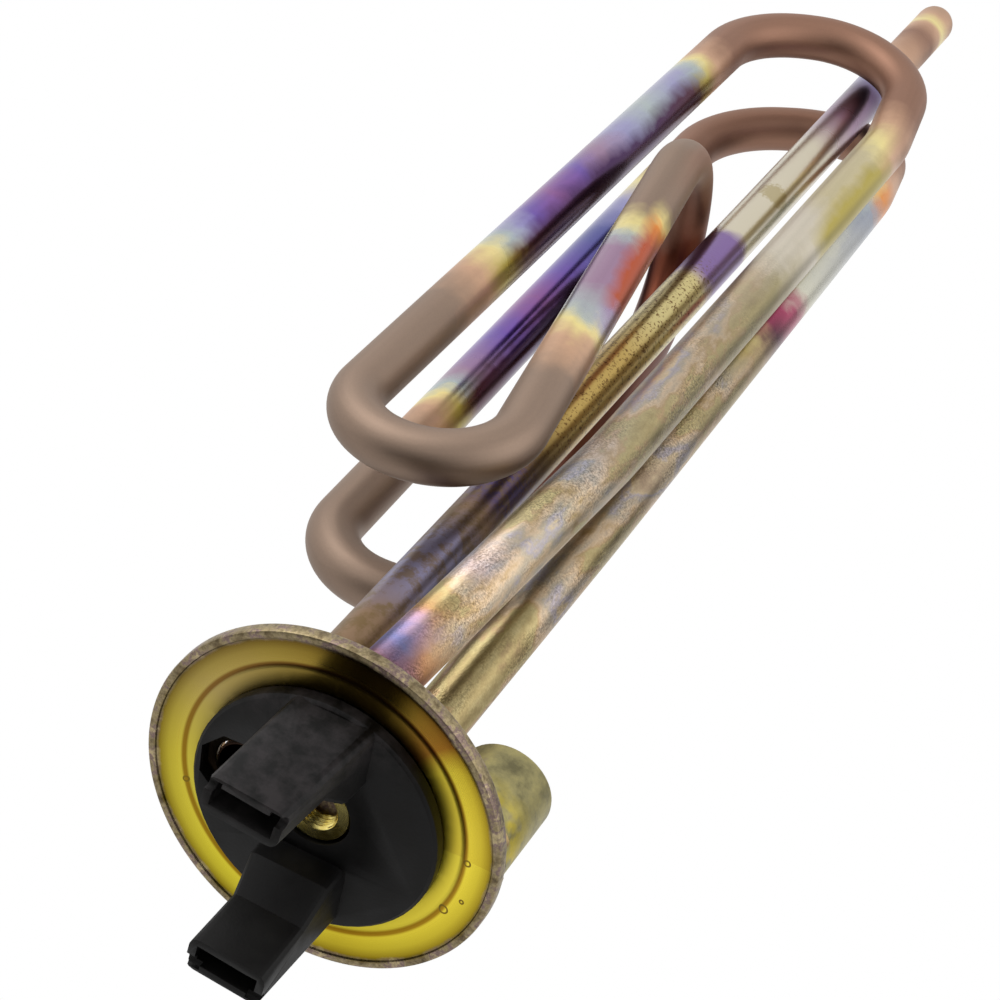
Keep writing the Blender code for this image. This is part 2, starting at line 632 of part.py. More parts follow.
def make_terminal_base(frame):
    back = FLOOR_Z - GAP
    face = -DISC_FACE
    disc = [(0.0, back), (DISC_R, back), (DISC_R, face + DISC_CHAMFER),
            (DISC_R - DISC_CHAMFER, face), (0.0, face)]
    base = take_in("terminal_base", turned_mesh("terminal_base", disc, DISC_STEPS), BASE_PLASTIC,
                   parent=frame)
    base.data.transform(Matrix.Translation(scaled(*DISC_SHIFT, 0.0)))
    half = 0.5 * SHROUD_WIDTH
    mouth_half = 0.5 * SHROUD_HEIGHT - MOUTH_WALL
    for side, label in ((1, "near"), (-1, "far")):
        outline = shroud_outline(side)
        block = extruded_block("shroud_" + label, outline, half, BLOCK_WIDEN, -SLOPE_START - 0.5)
        lean(block, side)
        combine(base, cutter("shroud_" + label, block, TURN), "UNION")
        y = side * SHROUD_Y
        mouth = box_cutter("mouth_" + label, (MOUTH_WALL - half, half - MOUTH_WALL),
                           (y - mouth_half, y + mouth_half),
                           (-SHROUD_END - 3.0, WEB_Z))
        lean(mouth.data, side)
        mouth.matrix_world = TURN
        combine(base, mouth, "DIFFERENCE")
        for end in (-1, 1):
            notch = round_cutter("notch_%s_%d" % (label, end), MOUTH_NOTCH_R, -2.0, 2.0, sides=12)
            notch.data.transform(Matrix.Translation(
                scaled(end * half, y + side * 0.25 * SHROUD_HEIGHT, -SHROUD_END))
                @ Matrix.Rotation(math.pi / 2.0, 4, "Y"))
            lean(notch.data, side)
            notch.matrix_world = TURN
            combine(base, notch, "DIFFERENCE")
        root = leg_root(side) + leg_direction(side) * BUSH_HEAD_END
        well = round_cutter("sheath_well_" + label, SHEATH_R + GAP + 0.05, back - WELL_DEPTH, 1.0,
                            root.x, root.y, sides=24)
        head_well = round_cutter("bush_well_" + label, BUSH_HEAD_R + GAP,
                                 BUSH_HEAD_END - GAP, 1.0, root.x, root.y, sides=24)
        combine(base, well, "DIFFERENCE")
        combine(base, head_well, "DIFFERENCE")
        pin_y = abs(pin_end(side).y) - PIN_END_R - 2.0 * GAP
        middle_y = abs(tab_y(side))
        chamber = box_cutter("weld_chamber_" + label,
                             (-0.5 * TAB_WIDTH - GAP, 0.5 * TAB_WIDTH + GAP),
                             sorted((side * pin_y, side * (middle_y + TAB_THICKNESS + GAP))),
                             (WEB_Z + WEB, 1.0))
        slot = box_cutter("tab_slot_" + label,
                          (-0.5 * TAB_WIDTH - GAP, 0.5 * TAB_WIDTH + GAP),
                          sorted((side * (middle_y - 0.5 * TAB_THICKNESS - GAP),
                                  side * (middle_y + 0.5 * TAB_THICKNESS + GAP))),
                          (WEB_Z - 2.0, WEB_Z + WEB + 2.0))
        for hollow in (chamber, slot):
            lean(hollow.data, side)
            hollow.matrix_world = TURN
            combine(base, hollow, "DIFFERENCE")
    stem_centre = TURN @ Vector((POCKET_X, 0.0, 0.0))
    combine(base, round_cutter("stem_hole", STEM_HOLE_R, face - 2.0, 2.0, stem_centre.x,
                               stem_centre.y, STEM_HOLE_SIDES, STEM_HOLE_PHASE), "DIFFERENCE")
    combine(base, round_cutter("insert_hole", INSERT_R + GAP, face - 0.5, 2.0, sides=32),
            "DIFFERENCE")


make_flange()
make_heating_tube()
make_tube_ends()
make_pocket()
make_boss()
make_brazing()
make_insert()
terminal_frame = base_empty()
make_tabs(terminal_frame)
make_terminal_base(terminal_frame)
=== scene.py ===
# %% [markdown]
# # A water heater element
# The real object is one long bent heating tube, a closed pocket for a thermostat and a boss
# for an anode rod, all brazed into a small round flange. A black moulding with two tab
# shrouds closes the flange's outer side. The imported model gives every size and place. This
# script dresses it: finer tubes, a turned flange, a threaded bush, and finishes that show
# the colours that heat leaves on metal.

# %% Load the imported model
import json
import math

import bmesh
import bpy
from mathutils import Matrix, Quaternion, Vector, noise

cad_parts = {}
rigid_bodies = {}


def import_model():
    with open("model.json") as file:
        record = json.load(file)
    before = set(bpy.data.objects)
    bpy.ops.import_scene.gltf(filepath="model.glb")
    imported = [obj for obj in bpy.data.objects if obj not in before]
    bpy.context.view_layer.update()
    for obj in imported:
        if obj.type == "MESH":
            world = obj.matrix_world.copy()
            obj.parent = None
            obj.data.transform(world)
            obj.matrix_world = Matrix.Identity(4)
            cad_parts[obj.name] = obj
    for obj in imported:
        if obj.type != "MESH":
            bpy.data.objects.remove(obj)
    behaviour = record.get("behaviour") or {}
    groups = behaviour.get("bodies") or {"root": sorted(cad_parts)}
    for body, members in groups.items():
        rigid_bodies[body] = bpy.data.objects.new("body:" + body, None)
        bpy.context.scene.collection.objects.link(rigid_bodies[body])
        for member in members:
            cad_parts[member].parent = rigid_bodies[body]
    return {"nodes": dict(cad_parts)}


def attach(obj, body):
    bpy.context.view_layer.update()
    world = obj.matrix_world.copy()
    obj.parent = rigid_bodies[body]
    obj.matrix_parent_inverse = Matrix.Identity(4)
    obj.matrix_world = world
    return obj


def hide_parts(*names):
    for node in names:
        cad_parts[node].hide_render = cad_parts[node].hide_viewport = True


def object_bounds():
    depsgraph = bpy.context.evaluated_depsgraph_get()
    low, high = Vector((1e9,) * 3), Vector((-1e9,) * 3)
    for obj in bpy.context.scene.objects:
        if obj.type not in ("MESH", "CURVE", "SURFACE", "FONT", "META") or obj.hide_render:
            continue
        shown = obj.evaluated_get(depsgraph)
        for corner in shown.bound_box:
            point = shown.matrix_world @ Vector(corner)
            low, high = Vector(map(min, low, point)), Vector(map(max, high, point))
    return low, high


for start_object in list(bpy.data.objects):
    bpy.data.objects.remove(start_object, do_unlink=True)
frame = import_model()
NODES = frame["nodes"]
MM = 0.001
cad_low, cad_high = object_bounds()
print("CAD box in mm:", [round(side / MM, 1) for side in cad_high - cad_low])

# %% [markdown]
# ## The camera
# The picture was taken from below the terminal side, looking up along the tubes, from
# about 37 cm away. The lens is long, about 105 mm on a 36 mm sensor, so the flange isn't
# much larger than the far bends. The camera's place and turn were fitted to the outlines.

# %% Camera
camera_data = bpy.data.cameras.new("photo_camera")
camera_data.sensor_width = 36.0
camera_data.lens = 104.5236
camera_data.clip_start = 0.01
camera_data.clip_end = 20.0
camera = bpy.data.objects.new("photo_camera", camera_data)
bpy.context.scene.collection.objects.link(camera)
camera.location = (-0.110775, 0.225483, -0.247711)
camera.rotation_mode = "QUATERNION"
camera.rotation_quaternion = Quaternion((-0.1929422, 0.1195809, 0.9355457, 0.2706068))
bpy.context.scene.camera = camera
bpy.context.scene.view_settings.view_transform = "Standard"

# %% [markdown]
# ## Two small helpers for materials
# Colours are written as the hex values that a painter would pick on a screen. Blender
# works with linear light, so one function turns them. The other adds one node to a tree,
# with its settings, numbers, links and, for a colour ramp, its stops in a single call.


# %% Colour and node helpers
def linear(hex_colour):
    """The linear colour of an sRGB hex value such as "b39d8b"."""
    parts = [int(hex_colour[i:i + 2], 16) / 255.0 for i in (0, 2, 4)]
    low_or_high = [c / 12.92 if c <= 0.04045 else ((c + 0.055) / 1.055) ** 2.4 for c in parts]
    return (*low_or_high, 1.0)


def add_node(tree, kind, inputs=None, stops=(), **settings):
    """Adds a node. An input may be a number, a colour or another node's output. A stop of
    a ramp is (position, hex colour), with an alpha after them where it carries one."""
    node = tree.nodes.new(kind)
    for name, value in settings.items():
        setattr(node, name, value)
    for key, value in (inputs or {}).items():
        if isinstance(value, bpy.types.NodeSocket):
            tree.links.new(value, node.inputs[key])
        else:
            node.inputs[key].default_value = value
    if stops:
        elements = node.color_ramp.elements
        while len(elements) < len(stops):
            elements.new(0.5)
        for element, (at, hex_colour, *alpha) in zip(elements, stops):
            element.position = at
            element.color = (*linear(hex_colour)[:3], *(alpha or [1.0]))
    return node


def new_finish(name, **numbers):
    """An empty material with a Principled shader, and its tree."""
    material = bpy.data.materials.new(name)
    material.use_nodes = True
    tree = material.node_tree
    shader = tree.nodes["Principled BSDF"]
    for key, value in numbers.items():
        shader.inputs[key.replace("_", " ")].default_value = value
    return material, tree, shader


# %% [markdown]
# ## Studio light and floor
# The photograph's background is plain white on all sides, and the tubes show it: their
# edges are bright and the side that faces the camera is darker. So the world is white to
# the camera and in reflections, and lights matte surfaces at a plain level.

# %% World
world = bpy.data.worlds.new("white_studio")
bpy.context.scene.world = world
world.use_nodes = True
sky = world.node_tree
sky.nodes.clear()
seen = add_node(sky, "ShaderNodeLightPath")
seen_or_mirrored = add_node(sky, "ShaderNodeMath",
                            {0: seen.outputs["Is Camera Ray"],
                             1: seen.outputs["Is Glossy Ray"]}, operation="MAXIMUM")
shows_white = add_node(sky, "ShaderNodeMath",
                       {0: seen_or_mirrored.outputs[0],
                        1: seen.outputs["Is Transmission Ray"]}, operation="MAXIMUM")
plain_level = add_node(sky, "ShaderNodeBackground",
                       {"Color": linear("ffffff"), "Strength": 0.5})
white_wall = add_node(sky, "ShaderNodeBackground",
                      {"Color": linear("ffffff"), "Strength": 1.0})
sky_mix = add_node(sky, "ShaderNodeMixShader",
                   {0: shows_white.outputs[0], 1: plain_level.outputs[0],
                    2: white_wall.outputs[0]})
add_node(sky, "ShaderNodeOutputWorld", {"Surface": sky_mix.outputs[0]})

# %% [markdown]
# The floor is a pale card. It lies well below, because the camera looks up from under the
# flange. To the camera it is lifted to near white and in reflections it is white, but it
# takes the object's shadow and doesn't light the object more. Two black cards, below and
# beside the object, are seen only in reflections: metal needs something dark to reflect,
# or it looks flat.


# %% Floor and dark cards
def staged_card(name, corners, finish):
    """One flat face of the studio, which isn't part of the object."""
    mesh = bpy.data.meshes.new(name)
    mesh.from_pydata(corners, [], [(0, 1, 2, 3)])
    mesh.materials.append(finish)
    card = bpy.data.objects.new(name, mesh)
    bpy.context.scene.collection.objects.link(card)


FLOOR_HALF = 3
FLOOR_DEPTH = -0.6
floor_finish, floor_tree, floor_shader = new_finish("matte white card", Roughness=0.9)
floor_shader.inputs["Base Color"].default_value = linear("d8d5d1")
ray_kind = add_node(floor_tree, "ShaderNodeLightPath")
lift = add_node(floor_tree, "ShaderNodeMath", {0: ray_kind.outputs["Is Camera Ray"], 1: 0.5},
                operation="MULTIPLY")
lifted = add_node(floor_tree, "ShaderNodeEmission", {"Strength": lift.outputs[0]})
pale_card = add_node(floor_tree, "ShaderNodeAddShader",
                     {0: floor_shader.outputs[0], 1: lifted.outputs[0]})
mirrored_white = add_node(floor_tree, "ShaderNodeEmission", {"Strength": 1.0})
floor_mix = add_node(floor_tree, "ShaderNodeMixShader",
                     {0: ray_kind.outputs["Is Glossy Ray"], 1: pale_card.outputs[0],
                      2: mirrored_white.outputs[0]})
floor_tree.links.new(floor_mix.outputs[0],
                     floor_tree.nodes["Material Output"].inputs["Surface"])
staged_card("studio_floor", [(x * FLOOR_HALF, y * FLOOR_HALF, FLOOR_DEPTH)
                             for x, y in ((-1, -1), (1, -1), (1, 1), (-1, 1))], floor_finish)

card_finish, card_tree, card_shader = new_finish("matte black card", Roughness=0.9)
card_shader.inputs["Base Color"].default_value = linear("1d1b1a")
card_seen = add_node(card_tree, "ShaderNodeLightPath")
card_clear = add_node(card_tree, "ShaderNodeBsdfTransparent")
card_mix = add_node(card_tree, "ShaderNodeMixShader",
                    {0: card_seen.outputs["Is Glossy Ray"], 1: card_clear.outputs[0],
                     2: card_shader.outputs[0]})
card_tree.links.new(card_mix.outputs[0], card_tree.nodes["Material Output"].inputs["Surface"])
staged_card("card_below", ((-0.35, -0.02, -0.33), (0.3, -0.02, -0.33), (0.3, 0.28, -0.33),
                           (-0.35, 0.28, -0.33)), card_finish)
staged_card("card_beside", ((-0.42, -0.01, 0.28), (-0.33, -0.25, 0.28), (-0.33, -0.25, 0.75),
                            (-0.42, -0.01, 0.75)), card_finish)

# %% [markdown]
# Two large soft lamps give the tubes their long highlights: a key lamp above the camera's
# view of the object, and a weaker one to its right.

# %% Lamps
# Each: name, place from the object's middle as the camera sees it (right, up, towards the
# camera) in metres, side in metres, watts
LAMPS = (("key_lamp", (-0.39, 0.84, 0.24), 0.7, 3.8),
         ("side_lamp", (0.8, 0.1, 0.3), 0.8, 2.0))
OBJECT_CENTRE = (cad_low + cad_high) / 2
for lamp_name, offset, size, watts in LAMPS:
    lamp_data = bpy.data.lights.new(lamp_name, "AREA")
    lamp_data.size = size
    lamp_data.energy = watts
    lamp = bpy.data.objects.new(lamp_name, lamp_data)
    bpy.context.scene.collection.objects.link(lamp)
    toward = camera.rotation_quaternion @ Vector(offset)
    lamp.location = OBJECT_CENTRE + toward
    lamp.rotation_mode = "QUATERNION"
    lamp.rotation_quaternion = toward.to_track_quat("Z", "Y")

# %% [markdown]
# ## The bent tube's centre line
# The tube is bent on round formers, so its centre line is straight runs joined by arcs.
# The corner points are the ones that the solid model uses: the near loop at +Y, its mirror
# image at -Y, and the saddle bend that joins them. Hand bending moved the far loop by a
# millimetre or two.

# %% Corner points and arcs
LEG_SPACING = 21.1
SHEATH_R = 4.0
SHEATH_WALL = 0.75
SHEATH_START = -1.5
CORNERS = {
    "neck": ((-1.7, 6.2, 80.0), 150.0, 0.2),
    "shoulder": ((-1.2, 5.2, 202.8), 30.0, 1.0),
    "crest": ((3.7, 8.6, 237.2), 14.7, 1.6),
    "outer_top": ((33.2, 10.2, 221.5), 19.9, 2.3),
    "outer_foot": ((32.0, 11.6, 56.5), 11.9, 1.1),
    "inner_foot": ((6.8, 11.9, 57.4), 11.9, 0.0),
    "saddle": ((20.7, 16.7, 165.0), 16.0, 0.0),
}


def loop_corners(side):
    """(corner, bend radius) from the flange to the saddle, in millimetres."""
    found = []
    for place, bend, far_shift in CORNERS.values():
        shift = far_shift if side < 0 else 0.0
        found.append((Vector((place[0] + shift, side * place[1], place[2])), bend))
    root = Vector((0.0, side * LEG_SPACING / 2.0, 0.0))
    start = root + (found[0][0] - root).normalized() * SHEATH_START
    return [(start, 0.0)] + found


def rounded_line(corners, arc_step):
    """The corners with an arc at each inner one, shortened where two arcs would meet."""
    points = [point for point, _ in corners]
    reach = [0.0]
    for i in range(1, len(points) - 1):
        turn = (points[i] - points[i - 1]).angle(points[i + 1] - points[i])
        reach.append(corners[i][1] * math.tan(turn / 2.0))
    reach.append(0.0)
    share = [1.0] * len(points)
    for i in range(len(points) - 1):
        span = 0.995 * (points[i + 1] - points[i]).length
        if reach[i] + reach[i + 1] > span:
            fit = span / (reach[i] + reach[i + 1])
            share[i] = min(share[i], fit)
            share[i + 1] = min(share[i + 1], fit)
    line = [points[0]]
    for i in range(1, len(points) - 1):
        inward = (points[i - 1] - points[i]).normalized()
        onward = (points[i + 1] - points[i]).normalized()
        turn = (-inward).angle(onward)
        length = reach[i] * share[i]
        radius = length / math.tan(turn / 2.0)
        centre = points[i] + (inward + onward).normalized() * math.hypot(radius, length)
        start = points[i] + inward * length - centre
        axis = (-inward).cross(onward).normalized()
        count = max(2, math.ceil(turn / arc_step))
        line += [centre + Matrix.Rotation(turn * k / count, 3, axis) @ start
                 for k in range(count + 1)]
    return line + [points[-1]]


tube_line = rounded_line(loop_corners(1) + loop_corners(-1)[::-1], math.radians(3.0))
TUBE_LENGTH = sum((b - a).length for a, b in zip(tube_line, tube_line[1:]))
print("bent tube:", len(tube_line), "points,", round(TUBE_LENGTH), "mm long")

# %% [markdown]
# ## Heat-tinted tube steel
# The sheath is seamless nickel steel tube. It was bright when drawn. Heat grew a thin clear
# oxide on it, and the oxide's thickness decides the colour: straw, then violet and blue,
# then a dull taupe where it is thickest, in the bends. The bands run round the tube at
# certain lengths, so the colours are a list of lengths in millimetres from the near end,
# each with a hex colour and a roughness. A noise moves the bands' edges a little.

# %% Tint lists and their ramps
TAUPE = ("907c6d", 0.54)
ROSE_BROWN = ("94715f", 0.54)
RED_BROWN = ("6e3d2d", 0.42)
PEACH = ("c8a184", 0.42)
STRAW = ("e8d892", 0.3)
AMBER = ("d98a3c", 0.3)
ICE = ("aab4b4", 0.24)
LILAC = ("9996bd", 0.24)
MAUVE = ("9d7f98", 0.3)
VIOLET = ("6f55a6", 0.2)
PLUM = ("452752", 0.2)
NAVY = ("2c2946", 0.2)
MAROON = ("4d2233", 0.22)
MAGENTA = ("a0405f", 0.26)
RUST = ("b0502f", 0.3)
SILVER_GREEN = ("cbc8b6", 0.28)
MUSTARD = ("b0a04c", 0.32)
OLIVE = ("978c66", 0.4)
SAND = ("b6a58a", 0.4)
GREY_BLUE = ("9196a2", 0.34)
TAN = ("a48d67", 0.4)
PALE = ("cbc2b1", 0.34)
ORCHID = ("8d5a94", 0.24)
PALE_MUSTARD = ("c2b692", 0.34)
DULL_PLUM = ("6a4656", 0.32)
BRAZE_BLUE = ("5c5f8c", 0.3)
RUST_TAN = ("a8794f", 0.36)
DEEP_BLUE = ("565a96", 0.22)

# The side turned to +X and +Y, towards the light
SHEATH_TINTS = (
    (0, DULL_PLUM), (13, DULL_PLUM), (18, BRAZE_BLUE), (23, MAUVE), (27, RUST_TAN),
    (33, OLIVE), (40, LILAC), (50, SAND), (64, OLIVE), (75, GREY_BLUE),
    (90, SAND), (136, SAND), (148, PALE), (164, PALE), (172, PALE_MUSTARD),
    (192, PALE_MUSTARD), (199, STRAW), (206, PEACH), (215, ROSE_BROWN), (272, ROSE_BROWN),
    (281, PEACH), (286, STRAW), (290, ICE), (295, LILAC), (308, ICE), (320, LILAC),
    (328, MAUVE), (336, VIOLET), (345, ORCHID), (355, VIOLET), (361, LILAC),
    (366, ICE), (370, STRAW), (376, PEACH), (388, TAUPE), (460, TAUPE), (469, PEACH),
    (474, STRAW), (478, ICE), (486, MAUVE), (496, MAUVE), (500, ICE), (504, STRAW),
    (509, TAUPE), (545, TAUPE), (558, RED_BROWN), (650, RED_BROWN), (668, TAUPE),
    (716, TAUPE), (725, PEACH), (730, STRAW), (733, ICE), (739, MAUVE), (752, VIOLET),
    (764, ORCHID), (776, VIOLET), (792, DEEP_BLUE), (806, LILAC), (816, STRAW),
    (825, ROSE_BROWN), (892, ROSE_BROWN), (903, PEACH), (909, STRAW), (915, ICE),
    (932, SILVER_GREEN), (950, SILVER_GREEN), (953, MAGENTA), (963, MAGENTA), (968, STRAW),
    (975, MUSTARD), (1000, TAN), (1040, OLIVE), (1075, TAN), (1109, OLIVE),
)
# The side turned away from it: painted shade, with darker tints where the light falls less,
# and a real change of the oxide's colour too
SHADED_TINTS = (
    (0, DULL_PLUM), (15, DULL_PLUM), (21, RUST_TAN), (28, TAN), (40, TAN), (62, OLIVE),
    (90, TAN), (140, OLIVE), (158, PALE), (166, MUSTARD), (192, MUSTARD), (200, PEACH),
    (212, ROSE_BROWN), (272, ROSE_BROWN), (281, PEACH), (287, MUSTARD), (292, MAROON),
    (312, PLUM), (350, PLUM), (362, MAROON), (369, MUSTARD), (376, PEACH), (386, TAUPE),
    (462, TAUPE), (471, PEACH), (476, STRAW), (480, LILAC), (485, RUST), (503, RUST),
    (507, AMBER), (510, STRAW), (515, TAUPE), (540, ROSE_BROWN), (556, RED_BROWN),
    (650, RED_BROWN),
    (668, TAUPE), (713, TAUPE), (721, PEACH), (728, MUSTARD), (734, MAROON), (750, PLUM),
    (780, NAVY), (800, PLUM), (814, MUSTARD), (824, ROSE_BROWN), (892, ROSE_BROWN),
    (902, PEACH), (909, AMBER), (916, GREY_BLUE), (950, SILVER_GREEN), (956, MAGENTA),
    (964, MAROON), (970, TAN), (1109, TAN),
)
MOST_STOPS = 30
TO_MM = 1000.0


def tint_along(tree, length_mm, stops):
    """Colour and roughness sockets for a length in millimetres. A ramp holds 32 stops at
    most, so a long list is laid over several ramps, each taking over from the one before."""
    colour = rough = None
    for first in range(0, len(stops) - 1, MOST_STOPS - 1):
        part = stops[first:first + MOST_STOPS]
        low, high = part[0][0], part[-1][0]
        place = add_node(tree, "ShaderNodeMapRange",
                         {"Value": length_mm, "From Min": low, "From Max": high})
        ramp = add_node(tree, "ShaderNodeValToRGB", {"Fac": place.outputs[0]},
                        stops=[((at - low) / (high - low), *tint) for at, tint in part])
        if colour is None:
            colour, rough = ramp.outputs["Color"], ramp.outputs["Alpha"]
            continue
        past = add_node(tree, "ShaderNodeMath", {0: length_mm, 1: low},
                        operation="GREATER_THAN")
        mixed = add_node(tree, "ShaderNodeMix",
                         {0: past.outputs[0], 6: colour, 7: ramp.outputs["Color"]},
                         data_type="RGBA")
        mixed_rough = add_node(tree, "ShaderNodeMix",
                               {0: past.outputs[0], 2: rough, 3: ramp.outputs["Alpha"]},
                               data_type="FLOAT")
        colour, rough = mixed.outputs[2], mixed_rough.outputs[0]
    return colour, rough


# %% [markdown]
# The finish itself reads two attributes that the tube carries: the length along it, and
# the place round it. With both, drawn lines run along the tube also through its bends.
# Object coordinates alone would cut straight through a bend. The two lists of tints cover
# the tube's two sides, and a ragged border between them follows the way each spot faces.
# The second list is painted shade: darker tints on the side turned from the light, with a
# real change of the oxide's colour as well.

# %% Material of the sheath: heat tint
sheath_finish, tree, shader = new_finish("heat-tinted nickel steel", Metallic=1.0)
along = add_node(tree, "ShaderNodeAttribute", attribute_name="along")
around = add_node(tree, "ShaderNodeAttribute", attribute_name="around")
split = add_node(tree, "ShaderNodeSeparateXYZ", {0: around.outputs["Vector"]})
place = add_node(tree, "ShaderNodeCombineXYZ", {0: split.outputs[0], 1: split.outputs[1],
                                                2: along.outputs["Fac"]})
along_mm = add_node(tree, "ShaderNodeMath", {0: along.outputs["Fac"], 1: TO_MM},
                    operation="MULTIPLY")
# Band edges wander by about 3 mm over patches of 8 mm
wander = add_node(tree, "ShaderNodeTexNoise",
                  {"Vector": place.outputs[0], "Scale": 125.0, "Detail": 3.0,
                   "Roughness": 0.6})
wander_mm = add_node(tree, "ShaderNodeMapRange",
                     {"Value": wander.outputs["Fac"], "From Min": 0.25, "From Max": 0.75,
                      "To Min": -3.0, "To Max": 3.0})
slant = add_node(tree, "ShaderNodeMath", {0: split.outputs[0], 1: 500.0, 2: 0.0},
                 operation="MULTIPLY_ADD")
moved = add_node(tree, "ShaderNodeMath", {0: along_mm.outputs[0], 1: wander_mm.outputs[0]},
                 operation="ADD")
length_mm = add_node(tree, "ShaderNodeMath", {0: moved.outputs[0], 1: slant.outputs[0]},
                     operation="ADD").outputs[0]
lit_tint, tint_rough = tint_along(tree, length_mm, SHEATH_TINTS)
shaded_tint, _ = tint_along(tree, length_mm, SHADED_TINTS)
# How far each spot faces the first list's side, from 1 to -1
FIRST_SIDE = (0.896, 0.442, 0.0)
outward = add_node(tree, "ShaderNodeAttribute", attribute_name="outward")
facing = add_node(tree, "ShaderNodeVectorMath",
                  {0: outward.outputs["Vector"], 1: FIRST_SIDE}, operation="DOT_PRODUCT")
ragged = add_node(tree, "ShaderNodeMath",
                  {0: wander.outputs["Fac"], 1: 1.0, 2: facing.outputs["Value"]},
                  operation="MULTIPLY_ADD")
# Painted shade: the darker list takes over where the tube turns from the light
shade_side_share = add_node(tree, "ShaderNodeMapRange",
                       {"Value": ragged.outputs[0], "From Min": 0.75, "From Max": 0.1})
tint = add_node(tree, "ShaderNodeMix",
                {0: shade_side_share.outputs[0], 6: lit_tint, 7: shaded_tint},
                data_type="RGBA").outputs[2]

# %% [markdown]
# The lower legs stood in hard water, which dulled the tint. Dried-on scale lies over it in
# soft patches, and fine grains and pits of about 0.3 mm crowd there. All of it is noise,
# shared out by a mask that is 1 on the wet lengths and 0 beyond them.

# %% Material of the sheath: scale, grains and streaks
# The wet legs, below 150 mm on the near side and past 966 mm on the far one
near_wet = add_node(tree, "ShaderNodeMapRange",
                    {"Value": length_mm, "From Min": 152.0, "From Max": 112.0})
far_wet = add_node(tree, "ShaderNodeMapRange",
                   {"Value": length_mm, "From Min": 966.0, "From Max": 985.0})
wet = add_node(tree, "ShaderNodeMath", {0: near_wet.outputs[0], 1: far_wet.outputs[0]},
               operation="MAXIMUM")
# Dried-on scale: patches of about 8 by 20 mm, drawn out along the tube
drawn_out = add_node(tree, "ShaderNodeVectorMath",
                     {0: place.outputs[0], 1: (1.0, 1.0, 0.4)}, operation="MULTIPLY")
patches = add_node(tree, "ShaderNodeTexNoise",
                   {"Vector": drawn_out.outputs[0], "Scale": 125.0, "Detail": 5.0,
                    "Roughness": 0.58, "Distortion": 0.15})
patch_ramp = add_node(tree, "ShaderNodeValToRGB", {"Fac": patches.outputs["Fac"]},
                      stops=((0.3, "6b5844"), (0.38, "8c8058"), (0.44, "a3986e"),
                             (0.47, "a38a68"), (0.51, "bfa992"), (0.56, "9f978c"),
                             (0.6, "9492a4"), (0.64, "baa98e"), (0.72, "94806f")))
# They leave the first 25 mm free, where brazing heat left plum, blue and rust
past_braze = add_node(tree, "ShaderNodeMapRange",
                      {"Value": length_mm, "From Min": 20.0, "From Max": 34.0, "To Min": 0.1,
                       "To Max": 0.7})
patch_share = add_node(tree, "ShaderNodeMath",
                       {0: wet.outputs[0], 1: past_braze.outputs[0]}, operation="MULTIPLY")
patched = add_node(tree, "ShaderNodeMix",
                   {0: patch_share.outputs[0], 6: tint, 7: patch_ramp.outputs["Color"]},
                   data_type="RGBA")
# Pits and grains of 0.35 mm, strong on the wet legs and faint elsewhere
grains = add_node(tree, "ShaderNodeTexNoise",
                  {"Vector": place.outputs[0], "Scale": 2800.0, "Detail": 2.0,
                   "Roughness": 0.7})
grain_shade = add_node(tree, "ShaderNodeMapRange",
                       {"Value": grains.outputs["Fac"], "From Min": 0.34, "From Max": 0.66,
                        "To Min": 0.5, "To Max": 1.35})
# The grains crowd in some places and leave others smooth
crowded = add_node(tree, "ShaderNodeTexNoise",
                   {"Vector": drawn_out.outputs[0], "Scale": 210.0, "Detail": 3.0})
crowding = add_node(tree, "ShaderNodeMapRange",
                    {"Value": crowded.outputs["Fac"], "From Min": 0.42, "From Max": 0.6,
                     "To Min": 0.15, "To Max": 1.0})
wet_crowding = add_node(tree, "ShaderNodeMath", {0: wet.outputs[0], 1: crowding.outputs[0]},
                        operation="MULTIPLY")
grain_share = add_node(tree, "ShaderNodeMath", {0: wet_crowding.outputs[0], 1: 0.95, 2: 0.05},
                       operation="MULTIPLY_ADD")
grained = add_node(tree, "ShaderNodeMix",
                   {0: grain_share.outputs[0], 6: patched.outputs[2],
                    7: grain_shade.outputs[0]},
                   data_type="RGBA", blend_type="MULTIPLY")
# Streaks about 1 mm wide and 30 mm long: marks of the drawing die, and painted reflection
# lines along the tube
streak_place = add_node(tree, "ShaderNodeVectorMath",
                        {0: place.outputs[0], 1: (1.0, 1.0, 0.03)}, operation="MULTIPLY")
streaks = add_node(tree, "ShaderNodeTexNoise",
                   {"Vector": streak_place.outputs[0], "Scale": 420.0, "Detail": 2.0})
streak_and_reflection_shade = add_node(tree, "ShaderNodeMapRange",
                        {"Value": streaks.outputs["Fac"], "From Min": 0.35, "From Max": 0.65,
                         "To Min": 0.8, "To Max": 1.16})
streak_share = add_node(tree, "ShaderNodeMath", {0: wet.outputs[0], 1: 0.5, 2: 0.3},
                        operation="MULTIPLY_ADD")
streaked = add_node(tree, "ShaderNodeMix",
                    {0: streak_share.outputs[0], 6: grained.outputs[2],
                     7: streak_and_reflection_shade.outputs[0]},
                    data_type="RGBA", blend_type="MULTIPLY")
tree.links.new(streaked.outputs[2], shader.inputs["Base Color"])

# %% [markdown]
# Gloss tells the finishes apart as much as colour does: violet oxide is smooth, taupe is
# matte and scale is rough. The roughness comes along with each tint, and three bumps give
# the grains, the patches and the fine lines of the drawing die.

# %% Material of the sheath: roughness and bump
wet_rough = add_node(tree, "ShaderNodeMix", {0: wet.outputs[0], 2: tint_rough, 3: 0.36},
                     data_type="FLOAT")
rough_grain = add_node(tree, "ShaderNodeMath",
                       {0: patches.outputs["Fac"], 1: 0.16, 2: wet_rough.outputs[0]},
                       operation="MULTIPLY_ADD")
rough_level = add_node(tree, "ShaderNodeMath", {0: rough_grain.outputs[0], 1: 0.08},
                       operation="SUBTRACT")
tree.links.new(rough_level.outputs[0], shader.inputs["Roughness"])
